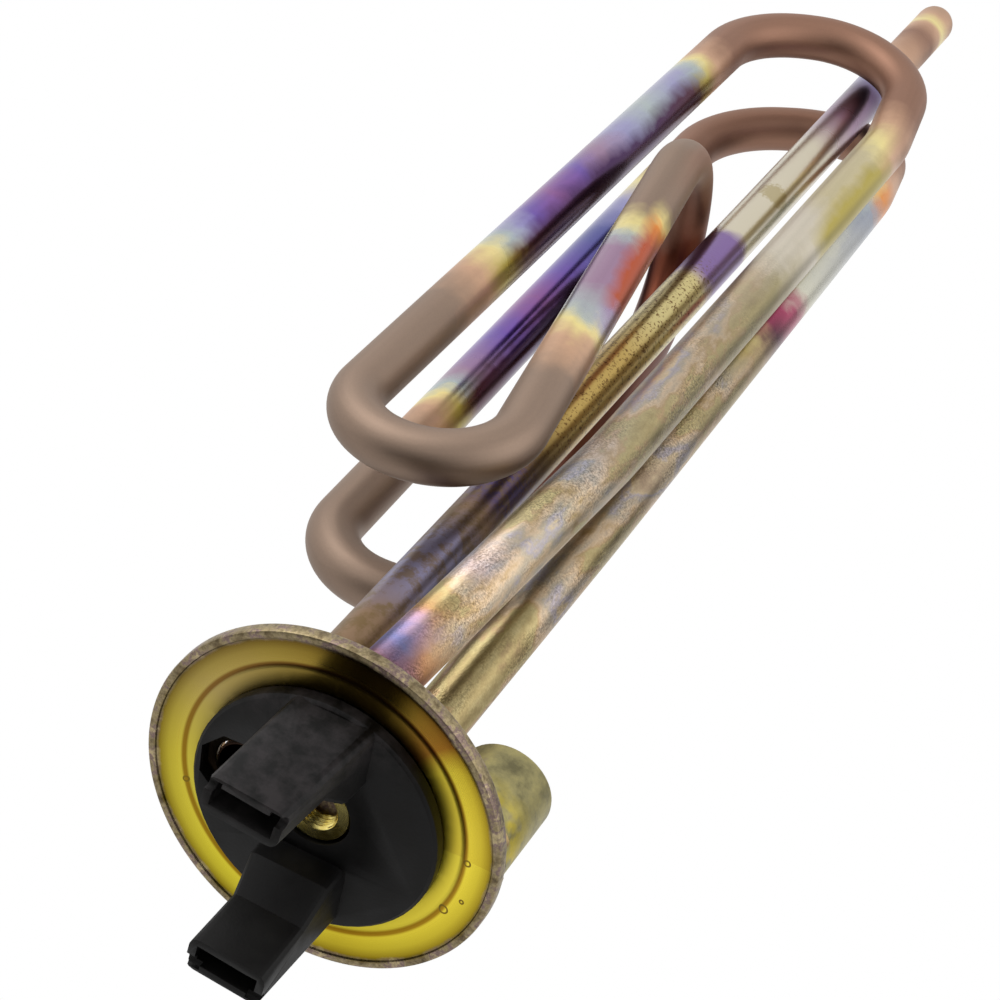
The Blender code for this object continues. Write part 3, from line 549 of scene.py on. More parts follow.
# Drawn lines: noise squeezed round the tube and stretched 40 times along it
stretched = add_node(tree, "ShaderNodeVectorMath",
                     {0: place.outputs[0], 1: (1.0, 1.0, 0.025)}, operation="MULTIPLY")
lines = add_node(tree, "ShaderNodeTexNoise",
                 {"Vector": stretched.outputs[0], "Scale": 900.0, "Detail": 2.0})
bump_share = add_node(tree, "ShaderNodeMath", {0: wet_crowding.outputs[0], 1: 0.9, 2: 0.05},
                      operation="MULTIPLY_ADD")
fine_bump = add_node(tree, "ShaderNodeBump",
                     {"Strength": bump_share.outputs[0], "Distance": 0.00014,
                      "Height": grains.outputs["Fac"]})
scale_bump = add_node(tree, "ShaderNodeBump",
                      {"Strength": bump_share.outputs[0], "Distance": 0.00025,
                       "Height": patches.outputs["Fac"], "Normal": fine_bump.outputs[0]})
line_bump = add_node(tree, "ShaderNodeBump",
                     {"Strength": 0.2, "Distance": 0.00006, "Height": lines.outputs["Fac"],
                      "Normal": scale_bump.outputs[0]})
tree.links.new(line_bump.outputs[0], shader.inputs["Normal"])

# %% [markdown]
# ## The sheath, swept by Geometry Nodes
# A tube along a path is one round profile carried along a curve. The tree stores the two
# attributes, sweeps the profile, and sets the finish. Its radius and its number of sides
# are named inputs. The wall comes after, from a Solidify that grows inwards.


# %% Sweep tree and the sheath
def sweep_tree():
    tree = bpy.data.node_groups.new("sweep round tube", "GeometryNodeTree")
    sockets = {}
    for label, kind in (("Centre line", "NodeSocketGeometry"), ("Radius", "NodeSocketFloat"),
                        ("Sides", "NodeSocketInt"), ("Finish", "NodeSocketMaterial")):
        sockets[label] = tree.interface.new_socket(label, in_out="INPUT", socket_type=kind)
    tree.interface.new_socket("Tube", in_out="OUTPUT", socket_type="NodeSocketGeometry")
    given = add_node(tree, "NodeGroupInput")
    measure = add_node(tree, "GeometryNodeSplineParameter")
    marked = add_node(tree, "GeometryNodeStoreNamedAttribute",
                      {"Geometry": given.outputs["Centre line"], "Name": "along",
                       "Value": measure.outputs["Length"]}, data_type="FLOAT", domain="POINT")
    circle = add_node(tree, "GeometryNodeCurvePrimitiveCircle",
                      {"Resolution": given.outputs["Sides"],
                       "Radius": given.outputs["Radius"]})
    where = add_node(tree, "GeometryNodeInputPosition")
    profile = add_node(tree, "GeometryNodeStoreNamedAttribute",
                       {"Geometry": circle.outputs["Curve"], "Name": "around",
                        "Value": where.outputs[0]}, data_type="FLOAT_VECTOR", domain="POINT")
    swept = add_node(tree, "GeometryNodeCurveToMesh",
                     {"Curve": marked.outputs[0], "Profile Curve": profile.outputs[0]})
    smooth = add_node(tree, "GeometryNodeSetShadeSmooth", {"Geometry": swept.outputs[0]})
    normal = add_node(tree, "GeometryNodeInputNormal")
    faced = add_node(tree, "GeometryNodeStoreNamedAttribute",
                     {"Geometry": smooth.outputs[0], "Name": "outward",
                      "Value": normal.outputs[0]}, data_type="FLOAT_VECTOR", domain="POINT")
    whole = add_node(tree, "GeometryNodeRealizeInstances", {"Geometry": faced.outputs[0]})
    dressed = add_node(tree, "GeometryNodeSetMaterial",
                       {"Geometry": whole.outputs[0], "Material": given.outputs["Finish"]})
    add_node(tree, "NodeGroupOutput", {"Tube": dressed.outputs[0]})
    return tree, {label: socket.identifier for label, socket in sockets.items()}


def plain_mesh(obj, name):
    """The object as Blender shows it, modifiers included, as a new mesh object."""
    bpy.context.view_layer.update()
    graph = bpy.context.evaluated_depsgraph_get()
    mesh = bpy.data.meshes.new_from_object(obj.evaluated_get(graph))
    bpy.data.objects.remove(obj, do_unlink=True)
    made = bpy.data.objects.new(name, mesh)
    mesh.name = name
    bpy.context.scene.collection.objects.link(made)
    return made


SWEEP, SWEEP_INPUTS = sweep_tree()
line_data = bpy.data.curves.new("sheath_line", "CURVE")
line_data.dimensions = "3D"
spline = line_data.splines.new("POLY")
spline.points.add(len(tube_line) - 1)
for point, spot in zip(spline.points, tube_line):
    point.co = (*(spot * MM), 1.0)
line_object = bpy.data.objects.new("sheath_line", line_data)
bpy.context.scene.collection.objects.link(line_object)
sweep = line_object.modifiers.new("Sweep", "NODES")
sweep.node_group = SWEEP
sweep[SWEEP_INPUTS["Radius"]] = SHEATH_R * MM
sweep[SWEEP_INPUTS["Sides"]] = 48
sweep[SWEEP_INPUTS["Finish"]] = sheath_finish
sheath = plain_mesh(line_object, "bent_sheath")
wall = sheath.modifiers.new("Wall", "SOLIDIFY")
wall.thickness = SHEATH_WALL * MM
wall.offset = -1.0
sheath = plain_mesh(sheath, "bent_sheath")
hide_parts("heater_sheath")
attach(sheath, "root")
print("sheath:", len(sheath.data.polygons), "faces")

# %% [markdown]
# ## Turned pieces
# The flange, the pocket, the boss and the bush are round, so each is a profile of radius
# and height turned about an axis. One function lays rings of points, closes the poles and
# joins the rings with faces. Corners sharper than a given angle stay crisp.


# %% Turning function
def turned_piece(name, profile, steps, finish, centre=(0.0, 0.0), ripple=None, crisp=35.0):
    """A solid of revolution from (radius, z) points in mm that run down its outer side."""
    work = bmesh.new()
    rings = []
    for index, (radius, z) in enumerate(profile):
        if radius == 0.0:
            rings.append([work.verts.new((centre[0] * MM, centre[1] * MM, z * MM))])
            continue
        ring = []
        for k in range(steps):
            angle = 2.0 * math.pi * k / steps
            dr, dz = ripple(index, angle) if ripple else (0.0, 0.0)
            ring.append(work.verts.new(((centre[0] + (radius + dr) * math.cos(angle)) * MM,
                                        (centre[1] + (radius + dr) * math.sin(angle)) * MM,
                                        (z + dz) * MM)))
        rings.append(ring)
    closed = profile[0][0] > 0.0
    for upper, lower in zip(rings, rings[1:] + (rings[:1] if closed else [])):
        for k in range(steps):
            corners = [upper[k % len(upper)], lower[k % len(lower)],
                       lower[(k + 1) % len(lower)], upper[(k + 1) % len(upper)]]
            unique = list(dict.fromkeys(corners))
            if len(unique) > 2:
                work.faces.new(unique)
    bmesh.ops.recalc_face_normals(work, faces=work.faces)
    mesh = bpy.data.meshes.new(name)
    work.to_mesh(mesh)
    work.free()
    mesh.shade_smooth()
    mesh.set_sharp_from_angle(angle=math.radians(crisp))
    mesh.materials.append(finish)
    made = bpy.data.objects.new(name, mesh)
    bpy.context.scene.collection.objects.link(made)
    return made


def stands_for(piece, node):
    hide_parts(node)
    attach(piece, "root")


# %% [markdown]
# ## The thermostat pocket
# A closed-end tube of the same steel, but only 7.2 mm across and never bent. Its colours
# run along its own height: rose brown at the flange, a lilac patch, pitted gold halfway
# up, one violet band, a pale silver stretch, then maroon and taupe towards the tip.

# %% Pocket finish
POCKET_X = 11.1
POCKET_R = 3.6
POCKET_WALL = 0.5
POCKET_TOP = 273.9
FLOOR_Z = -1.1
ROSE = ("9c7563", 0.32)
GRIME = ("8a7159", 0.44)
GREY_LILAC = ("85809a", 0.36)
DUSK = ("54466a", 0.3)
DARK_GOLD = ("5f4a2c", 0.32)
GOLD = ("b99c58", 0.3)
PALE_GOLD = ("cabb82", 0.28)
CHAMPAGNE = ("cec5b0", 0.24)
DULL_VIOLET = ("82689c", 0.28)
POCKET_TINTS = (
    (0, ROSE), (12, GRIME), (32, GRIME), (41, GREY_LILAC), (53, GREY_LILAC), (60, GRIME),
    (66, DUSK), (72, DUSK), (79, DARK_GOLD), (92, GOLD), (112, GOLD), (126, PALE_GOLD),
    (141, PALE_GOLD), (145, DULL_VIOLET), (157, DULL_VIOLET), (160, CHAMPAGNE),
    (198, CHAMPAGNE), (212, MAUVE), (226, PLUM), (234, LILAC), (240, STRAW), (246, PEACH),
    (257, ROSE_BROWN), (262, PEACH), (264, STRAW), (268, PEACH), (275, TAUPE),
)
pocket_finish, tree, shader = new_finish("heat-tinted drawn pocket tube", Metallic=1.0)
spot = add_node(tree, "ShaderNodeTexCoord")
split = add_node(tree, "ShaderNodeSeparateXYZ", {0: spot.outputs["Object"]})
wander = add_node(tree, "ShaderNodeTexNoise",
                  {"Vector": spot.outputs["Object"], "Scale": 150.0, "Detail": 3.0})
height_mm = add_node(tree, "ShaderNodeMath", {0: split.outputs[2], 1: TO_MM},
                     operation="MULTIPLY")
wander_mm = add_node(tree, "ShaderNodeMath", {0: wander.outputs["Fac"], 1: 6.0, 2: -3.0},
                     operation="MULTIPLY_ADD")
pocket_mm = add_node(tree, "ShaderNodeMath",
                     {0: height_mm.outputs[0], 1: wander_mm.outputs[0]},
                     operation="ADD").outputs[0]
tint, tint_rough = tint_along(tree, pocket_mm, POCKET_TINTS)
# Dark pits of 0.5 mm in the gold stretch, between 75 and 146 mm
pit_low = add_node(tree, "ShaderNodeMapRange",
                   {"Value": pocket_mm, "From Min": 40.0, "From Max": 85.0})
pit_high = add_node(tree, "ShaderNodeMapRange",
                    {"Value": pocket_mm, "From Min": 150.0, "From Max": 143.0})
pits = add_node(tree, "ShaderNodeTexNoise",
                {"Vector": spot.outputs["Object"], "Scale": 1900.0, "Detail": 3.0,
                 "Roughness": 0.65})
pit_mask = add_node(tree, "ShaderNodeMapRange",
                    {"Value": pits.outputs["Fac"], "From Min": 0.54, "From Max": 0.63})
pit_zone = add_node(tree, "ShaderNodeMath",
                    {0: pit_low.outputs[0], 1: pit_high.outputs[0]}, operation="MULTIPLY")
pit_share = add_node(tree, "ShaderNodeMath",
                     {0: pit_mask.outputs[0], 1: pit_zone.outputs[0]}, operation="MULTIPLY")
pitted = add_node(tree, "ShaderNodeMix",
                  {0: pit_share.outputs[0], 6: tint, 7: linear("6a4c22")}, data_type="RGBA")
# One olive stain that a drop left, 6 mm long, 177 mm up on the side of +Y
STAIN_PLACE = (0.0094, 0.0032, 0.177)
stain_gap = add_node(tree, "ShaderNodeVectorMath",
                     {0: spot.outputs["Object"], 1: STAIN_PLACE}, operation="DISTANCE")
stain_edge = add_node(tree, "ShaderNodeMath",
                      {0: pits.outputs["Fac"], 1: -0.004, 2: stain_gap.outputs["Value"]},
                      operation="MULTIPLY_ADD")
stain_mask = add_node(tree, "ShaderNodeMapRange",
                      {"Value": stain_edge.outputs[0], "From Min": 0.0012, "From Max": 0.0002,
                       "To Max": 0.75})
stained = add_node(tree, "ShaderNodeMix",
                   {0: stain_mask.outputs[0], 6: pitted.outputs[2], 7: linear("a8996a")},
                   data_type="RGBA")
# Brown grime in blotches of 3 mm on the lowest 85 mm
grime_noise = add_node(tree, "ShaderNodeTexNoise",
                       {"Vector": spot.outputs["Object"], "Scale": 330.0, "Detail": 6.0,
                        "Roughness": 0.7})
grime_zone = add_node(tree, "ShaderNodeMapRange",
                      {"Value": pocket_mm, "From Min": 88.0, "From Max": 70.0, "To Max": 0.75})
grime_mask = add_node(tree, "ShaderNodeMapRange",
                      {"Value": grime_noise.outputs["Fac"], "From Min": 0.46,
                       "From Max": 0.58})
grime_share = add_node(tree, "ShaderNodeMath",
                       {0: grime_zone.outputs[0], 1: grime_mask.outputs[0]},
                       operation="MULTIPLY")
grimy = add_node(tree, "ShaderNodeMix",
                 {0: grime_share.outputs[0], 6: stained.outputs[2], 7: linear("75603f")},
                 data_type="RGBA")
# Painted shade: inside the bore and at its open end the tube is near black brown, where
# little light reaches. The bore is what lies near the axis, below the closed tip.
BORE_EDGE = 0.0033
BORE_TOP = 0.2712
OPEN_END = -0.0005
from_axis = add_node(tree, "ShaderNodeVectorMath",
                     {0: spot.outputs["Object"], 1: (POCKET_X * MM, 0.0, 0.0)},
                     operation="SUBTRACT")
across = add_node(tree, "ShaderNodeVectorMath",
                  {0: from_axis.outputs[0], 1: (1.0, 1.0, 0.0)}, operation="MULTIPLY")
axis_gap = add_node(tree, "ShaderNodeVectorMath", {0: across.outputs[0]}, operation="LENGTH")
within_wall = add_node(tree, "ShaderNodeMath", {0: axis_gap.outputs["Value"], 1: BORE_EDGE},
                       operation="LESS_THAN")
under_tip = add_node(tree, "ShaderNodeMath", {0: split.outputs[2], 1: BORE_TOP},
                     operation="LESS_THAN")
deep_bore = add_node(tree, "ShaderNodeMath",
                     {0: within_wall.outputs[0], 1: under_tip.outputs[0]},
                     operation="MULTIPLY")
open_end = add_node(tree, "ShaderNodeMath", {0: split.outputs[2], 1: OPEN_END},
                    operation="LESS_THAN")
painted_bore_shade = add_node(tree, "ShaderNodeMath", {0: deep_bore.outputs[0], 1: open_end.outputs[0]},
                   operation="MAXIMUM")
pocket_all = add_node(tree, "ShaderNodeMix",
                      {0: painted_bore_shade.outputs[0], 6: grimy.outputs[2], 7: linear("21160f")},
                      data_type="RGBA")
tree.links.new(pocket_all.outputs[2], shader.inputs["Base Color"])
tree.links.new(tint_rough, shader.inputs["Roughness"])
pit_bump = add_node(tree, "ShaderNodeBump",
                    {"Strength": 0.4, "Distance": 0.00006, "Height": pits.outputs["Fac"]})
tree.links.new(pit_bump.outputs[0], shader.inputs["Normal"])


# %% [markdown]
# The pocket's profile runs down its outer side, round the open end and up its bore, so that
# the tube gets its real wall and the thermostat's stem finds a hole.

# %% Pocket tube
inner = POCKET_R - POCKET_WALL
round_z = POCKET_TOP - POCKET_R
pocket_profile = [(0.0, POCKET_TOP)]
pocket_profile += [(POCKET_R * math.sin(a), round_z + POCKET_R * math.cos(a))
                   for a in (math.radians(9.0 * k) for k in range(1, 11))]
pocket_profile += [(POCKET_R, FLOOR_Z), (inner + 0.25, FLOOR_Z), (inner, FLOOR_Z + 0.5)]
pocket_profile += [(inner * math.cos(a), round_z + inner * math.sin(a))
                   for a in (math.radians(15.0 * k) for k in range(6))]
pocket_profile += [(0.0, POCKET_TOP - POCKET_WALL)]
pocket = turned_piece("pocket_tube", pocket_profile, 64, pocket_finish, (POCKET_X, 0.0))
stands_for(pocket, "thermostat_pocket")
print("pocket:", len(pocket.data.polygons), "faces")

# %% [markdown]
# ## The flange
# A turned steel plate, zinc plated and passivated yellow. In the recess the film is thin
# and bright like polished brass. On the lip and the side it is rubbed and dull olive. Its
# finish reads the radius and the height, so the turned lines are true circles.

# %% Flange finish: the yellow film
FLANGE_R = 24.0
FLANGE_T = 2.0
LIP_R = 23.0
RECESS_STEP_R = 19.3
RECESS_FLOOR_R = 18.3
# Each drop: x, y and radius in mm
DRIED_DROPS = ((-17.4, -8.7, 0.55), (-19.6, -0.4, 0.4), (-19.6, -6.4, 0.25),
               (18.6, -5.0, 0.35))
flange_finish, tree, shader = new_finish("yellow passivated zinc plate", Metallic=1.0)
spot = add_node(tree, "ShaderNodeTexCoord")
split = add_node(tree, "ShaderNodeSeparateXYZ", {0: spot.outputs["Object"]})
flat = add_node(tree, "ShaderNodeCombineXYZ", {0: split.outputs[0], 1: split.outputs[1]})
reach = add_node(tree, "ShaderNodeVectorMath", {0: flat.outputs[0]}, operation="LENGTH")
radius_mm = add_node(tree, "ShaderNodeMath", {0: reach.outputs["Value"], 1: TO_MM},
                     operation="MULTIPLY")
film = add_node(tree, "ShaderNodeTexNoise",
                {"Vector": spot.outputs["Object"], "Scale": 55.0, "Detail": 2.0})
polished = add_node(tree, "ShaderNodeValToRGB", {"Fac": film.outputs["Fac"]},
                    stops=((0.3, "a8862a"), (0.45, "d3b838"), (0.6, "ead84a"),
                           (0.75, "f4e66c")))
# The film drifts from lemon to amber and brown round the plate: partly the film's own tone,
# partly painted reflection of dark surroundings, brownest on the side towards +Y and -X
turn_angle = add_node(tree, "ShaderNodeMath", {0: split.outputs[1], 1: split.outputs[0]},
                      operation="ARCTAN2")
turn_share = add_node(tree, "ShaderNodeMapRange",
                      {"Value": turn_angle.outputs[0], "From Min": -math.pi,
                       "From Max": math.pi})
turn_wobble = add_node(tree, "ShaderNodeMath",
                       {0: film.outputs["Fac"], 1: 0.1, 2: turn_share.outputs[0]},
                       operation="MULTIPLY_ADD")
film_and_reflection_drift = add_node(tree, "ShaderNodeValToRGB", {"Fac": turn_wobble.outputs[0]},
                 stops=((0.05, "f0de4c"), (0.25, "cab934"), (0.4, "d2c73c"), (0.54, "c4b644"),
                        (0.64, "a3905c"), (0.78, "866e34"), (0.88, "7e6028"),
                        (0.93, "9c5f28"), (0.96, "e2cc44")))
film_colour = add_node(tree, "ShaderNodeMix",
                       {0: 0.88, 6: polished.outputs["Color"], 7: film_and_reflection_drift.outputs["Color"]},
                       data_type="RGBA")
# Painted shade: the colour darkens in the corner of the step and under the lip, and stays
# as it is beside the moulding
ring_place = add_node(tree, "ShaderNodeMapRange",
                      {"Value": radius_mm.outputs[0], "From Min": 16.0, "From Max": 24.0})
painted_shade_rings = add_node(tree, "ShaderNodeValToRGB", {"Fac": ring_place.outputs[0]},
                     stops=((0.0, "ffffff"), (0.34, "ffffff"), (0.375, "b89a7a"),
                            (0.42, "b89a7a"), (0.46, "fdfbea"), (0.66, "e4e0c8"),
                            (0.8, "b4aa8c"), (0.85, "867b60")))
film_colour = add_node(tree, "ShaderNodeMix",
                       {0: 1.0, 6: film_colour.outputs[2], 7: painted_shade_rings.outputs["Color"]},
                       data_type="RGBA", blend_type="MULTIPLY")
clouds = add_node(tree, "ShaderNodeTexNoise",
                  {"Vector": spot.outputs["Object"], "Scale": 300.0, "Detail": 6.0,
                   "Roughness": 0.65})
rubbed = add_node(tree, "ShaderNodeValToRGB", {"Fac": clouds.outputs["Fac"]},
                  stops=((0.3, "453a2e"), (0.41, "73654c"), (0.5, "988a6a"),
                         (0.57, "7c6866"), (0.64, "b3a37e")))
edge_noise = add_node(tree, "ShaderNodeMath", {0: clouds.outputs["Fac"], 1: 1.2, 2: -0.6},
                      operation="MULTIPLY_ADD")
wavy_radius = add_node(tree, "ShaderNodeMath",
                       {0: radius_mm.outputs[0], 1: edge_noise.outputs[0]}, operation="ADD")
outside = add_node(tree, "ShaderNodeMapRange",
                   {"Value": wavy_radius.outputs[0], "From Min": 22.5, "From Max": 23.2})
tank_side = add_node(tree, "ShaderNodeMapRange",
                     {"Value": split.outputs[2], "From Min": -0.0008, "From Max": -0.0004})
dull = add_node(tree, "ShaderNodeMath", {0: outside.outputs[0], 1: tank_side.outputs[0]},
                operation="MAXIMUM")
plate = add_node(tree, "ShaderNodeMix",
                 {0: dull.outputs[0], 6: film_colour.outputs[2],
                  7: rubbed.outputs["Color"]}, data_type="RGBA")

# %% [markdown]
# Painted shade darkens the plate under the moulding and in its hole for the stem. Use left
# its marks on the plate: grit on the rubbed skin, and the rings of a few dried drops. Faint
# turned lines circle the recess.

# %% Flange finish: marks and turned lines
# Painted shade: under the moulding, and in its hole for the stem, the plate is near black
# brown
STEM_HOLE_R = 0.0056
covered = add_node(tree, "ShaderNodeMapRange",
                   {"Value": wavy_radius.outputs[0], "From Min": 16.0, "From Max": 15.7})
stem_gap = add_node(tree, "ShaderNodeVectorMath",
                    {0: flat.outputs[0], 1: (POCKET_X * MM, 0.0, 0.0)}, operation="DISTANCE")
round_stem = add_node(tree, "ShaderNodeMath",
                      {0: stem_gap.outputs["Value"], 1: STEM_HOLE_R}, operation="LESS_THAN")
painted_shade_under_moulding = add_node(tree, "ShaderNodeMath",
                          {0: covered.outputs[0], 1: round_stem.outputs[0]},
                          operation="MAXIMUM")
painted_shade_share = add_node(tree, "ShaderNodeMix", {0: tank_side.outputs[0],
                                          2: painted_shade_under_moulding.outputs[0], 3: 0.0},
                  data_type="FLOAT")
plate_all = add_node(tree, "ShaderNodeMix",
                     {0: painted_shade_share.outputs[0], 6: plate.outputs[2], 7: linear("1f1811")},
                     data_type="RGBA")
# Grit of 0.4 mm on the rubbed skin
grit = add_node(tree, "ShaderNodeTexNoise",
                {"Vector": spot.outputs["Object"], "Scale": 2300.0, "Detail": 2.0,
                 "Roughness": 0.7})
grit_shade = add_node(tree, "ShaderNodeMapRange",
                      {"Value": grit.outputs["Fac"], "From Min": 0.3, "From Max": 0.7,
                       "To Min": 0.6, "To Max": 1.3})
grit_share = add_node(tree, "ShaderNodeMath", {0: dull.outputs[0], 1: 0.7},
                      operation="MULTIPLY")
gritty = add_node(tree, "ShaderNodeMix",
                  {0: grit_share.outputs[0], 6: plate_all.outputs[2],
                   7: grit_shade.outputs[0]}, data_type="RGBA", blend_type="MULTIPLY")
# Rings that dried drops left in the film, each line 0.12 mm to either side of its circle
plate_colour = gritty.outputs[2]
for drop_x, drop_y, drop_radius in DRIED_DROPS:
    drop_offset = add_node(tree, "ShaderNodeVectorMath",
                           {0: flat.outputs[0], 1: (drop_x * MM, drop_y * MM, 0.0)},
                           operation="DISTANCE")
    drop_edge = add_node(tree, "ShaderNodeMath",
                         {0: drop_offset.outputs["Value"], 1: drop_radius * MM, 2: 0.00012},
                         operation="COMPARE")
    plate_colour = add_node(tree, "ShaderNodeMix",
                            {0: drop_edge.outputs[0], 6: plate_colour, 7: linear("7a6420")},
                            data_type="RGBA").outputs[2]
tree.links.new(plate_colour, shader.inputs["Base Color"])
# The corner beside the moulding wasn't wiped, so it stayed more matte than the rest
corner_rough = add_node(tree, "ShaderNodeMapRange",
                        {"Value": radius_mm.outputs[0], "From Min": 17.6, "From Max": 20.0,
                         "To Min": 0.5, "To Max": 0.27})
plate_rough = add_node(tree, "ShaderNodeMix",
                       {0: dull.outputs[0], 2: corner_rough.outputs[0], 3: 0.46},
                       data_type="FLOAT")
tree.links.new(plate_rough.outputs[0], shader.inputs["Roughness"])
# Turned lines of 0.25 mm, faint in the bright recess, and the rubbed skin's grain
turn_phase = add_node(tree, "ShaderNodeMath", {0: radius_mm.outputs[0], 1: 25.0},
                      operation="MULTIPLY")
turn_lines = add_node(tree, "ShaderNodeMath", {0: turn_phase.outputs[0]}, operation="SINE")
line_bump = add_node(tree, "ShaderNodeBump",
                     {"Strength": 0.03, "Distance": 0.00005, "Height": turn_lines.outputs[0]})
skin_strength = add_node(tree, "ShaderNodeMath", {0: dull.outputs[0], 1: 0.7},
                         operation="MULTIPLY")
plate_bump = add_node(tree, "ShaderNodeBump",
                      {"Strength": skin_strength.outputs[0], "Distance": 0.0002,
                       "Height": clouds.outputs["Fac"], "Normal": line_bump.outputs[0]})
tree.links.new(plate_bump.outputs[0], shader.inputs["Normal"])

# %% [markdown]
# The plate's shape is turned like the other round pieces: a flat tank side with a fine ring
# that marks the centre, a rounded rim, a lip, a gentle cone and a step down to the recess.
# Turning can't make holes away from the axis, so Booleans cut them.

# %% Flange
flange_profile = [(0.0, 0.0), (4.5, 0.0), (4.6, -0.1), (4.7, 0.0), (FLANGE_R - 0.35, 0.0),
                  (FLANGE_R - 0.1, -0.1), (FLANGE_R, -0.35), (FLANGE_R, 0.35 - FLANGE_T),
                  (FLANGE_R - 0.1, 0.1 - FLANGE_T), (FLANGE_R - 0.35, -FLANGE_T),
                  (LIP_R + 0.15, -FLANGE_T), (LIP_R, -FLANGE_T + 0.05), (LIP_R - 0.15, -1.72),
                  (LIP_R - 0.35, -1.64)]
for k in range(1, 9):
    flange_profile.append((LIP_R - 0.35 + (RECESS_STEP_R - LIP_R + 0.35) * k / 8.0,
                           -1.64 + 0.26 * k / 8.0))
flange_profile += [(RECESS_STEP_R - 0.15, -1.34), (RECESS_STEP_R - 0.6, -1.17),
                   (RECESS_FLOOR_R + 0.2, -1.12), (RECESS_FLOOR_R, FLOOR_Z), (0.0, FLOOR_Z)]
flange = turned_piece("turned_flange", flange_profile, 192, flange_finish)
# Three holes go right through and the bush's is blind. Each: name, x, y, radius, top.
HOLES = (("near_leg_hole", 0.0, LEG_SPACING / 2.0, 4.35, 3.0),
         ("far_leg_hole", 0.0, -LEG_SPACING / 2.0, 4.35, 3.0),
         ("pocket_hole", POCKET_X, 0.0, 3.92, 3.0),
         ("bush_hole", 0.0, 0.0, 3.35, -0.3))
for hole_name, x, y, radius, top in HOLES:
    drill = turned_piece(hole_name, [(0.0, top), (radius, top), (radius, -4.0), (0.0, -4.0)],
                         48, flange_finish, (x, y))
    cut = flange.modifiers.new(hole_name, "BOOLEAN")
    cut.operation = "DIFFERENCE"
    cut.solver = "EXACT"
    cut.object = drill
flange = plain_mesh(flange, "turned_flange")
for hole in HOLES:
    bpy.data.objects.remove(bpy.data.objects[hole[0]], do_unlink=True)
stands_for(flange, "flange")
print("flange:", len(flange.data.polygons), "faces")

# %% [markdown]
# ## The anode boss
# A plain round block of plated steel, blasted matte before plating, with a tapped hole that
# faces into the tank. The thread is drawn as a helix: the radius of each ring of points
# swings once for every pitch of height.

# %% Boss finish
boss_finish, tree, shader = new_finish("olive passivated blasted steel", Metallic=0.85)
spot = add_node(tree, "ShaderNodeTexCoord")
split = add_node(tree, "ShaderNodeSeparateXYZ", {0: spot.outputs["Object"]})
clouds = add_node(tree, "ShaderNodeTexNoise",
                  {"Vector": spot.outputs["Object"], "Scale": 260.0, "Detail": 6.0,
                   "Roughness": 0.65})
boss_ramp = add_node(tree, "ShaderNodeValToRGB", {"Fac": clouds.outputs["Fac"]},
                     stops=((0.3, "6a6444"), (0.46, "8f875c"), (0.6, "a59b66"),
                            (0.74, "8b7d68")))
# Yellow film that ran down near the plate, within 6 mm of it
smear = add_node(tree, "ShaderNodeTexNoise",
                 {"Vector": spot.outputs["Object"], "Scale": 330.0, "Detail": 2.0})
low_down = add_node(tree, "ShaderNodeMapRange",
                    {"Value": split.outputs[2], "From Min": 0.008, "From Max": 0.001})
smear_mask = add_node(tree, "ShaderNodeMapRange",
                      {"Value": smear.outputs["Fac"], "From Min": 0.44, "From Max": 0.58})
smear_share = add_node(tree, "ShaderNodeMath",
                       {0: low_down.outputs[0], 1: smear_mask.outputs[0]},
                       operation="MULTIPLY")
boss_colour = add_node(tree, "ShaderNodeMix",
                       {0: smear_share.outputs[0], 6: boss_ramp.outputs["Color"],
                        7: linear("c4b02c")}, data_type="RGBA")
tree.links.new(boss_colour.outputs[2], shader.inputs["Base Color"])
shader.inputs["Roughness"].default_value = 0.48
blast = add_node(tree, "ShaderNodeTexNoise",
                 {"Vector": spot.outputs["Object"], "Scale": 2600.0, "Detail": 2.0})
boss_bump = add_node(tree, "ShaderNodeBump",
                     {"Strength": 0.5, "Distance": 0.00007, "Height": blast.outputs["Fac"]})
tree.links.new(boss_bump.outputs[0], shader.inputs["Normal"])

# %% Boss
BOSS_X = -17.5
BOSS_R = 6.3
BOSS_TOP = 13.7
ROWS_PER_TURN = 8


def threaded_wall(top, bottom, minor, pitch, depth):
    """Profile points down a bore, and the ripple that turns them into a screw thread."""
    rows = int(round(abs(top - bottom) / pitch * ROWS_PER_TURN))
    points = [(minor, top + (bottom - top) * k / rows) for k in range(rows + 1)]

    def swing(z, angle):
        share = (z / pitch + angle / (2.0 * math.pi)) % 1.0
        return depth * max(0.0, 1.0 - abs(2.0 * share - 1.0) * 1.15)
    return points, swing


def thread_ripple(profile, rows, swing):
    """The ripple of a turned piece whose profile has a thread in the given rows."""
    def ripple(index, angle):
        if index in rows:
            return swing(profile[index][1], angle), 0.0
        return 0.0, 0.0
    return ripple


thread_rows, boss_swing = threaded_wall(BOSS_TOP - 0.5, 4.2, 2.5, pitch=1.0, depth=0.45)
boss_profile = [(0.0, 3.2), (2.4, 4.0)] + thread_rows[::-1]
boss_thread = range(2, len(boss_profile))
boss_profile += [(3.0, BOSS_TOP), (BOSS_R - 0.4, BOSS_TOP), (BOSS_R - 0.1, BOSS_TOP - 0.1),
                 (BOSS_R, BOSS_TOP - 0.4), (BOSS_R, 0.3), (0.0, 0.3)]
boss = turned_piece("anode_boss_block", boss_profile, 64, boss_finish, (BOSS_X, 0.0),
                    thread_ripple(boss_profile, boss_thread, boss_swing))
stands_for(boss, "anode_boss")
print("boss:", len(boss.data.polygons), "faces")

# %% [markdown]
# ## Brazing metal
# The joints are a run of melted brass that crept round each tube and froze with a soft,
# uneven edge. Each is the same small fillet, rippled by a noise that is fixed by its place.

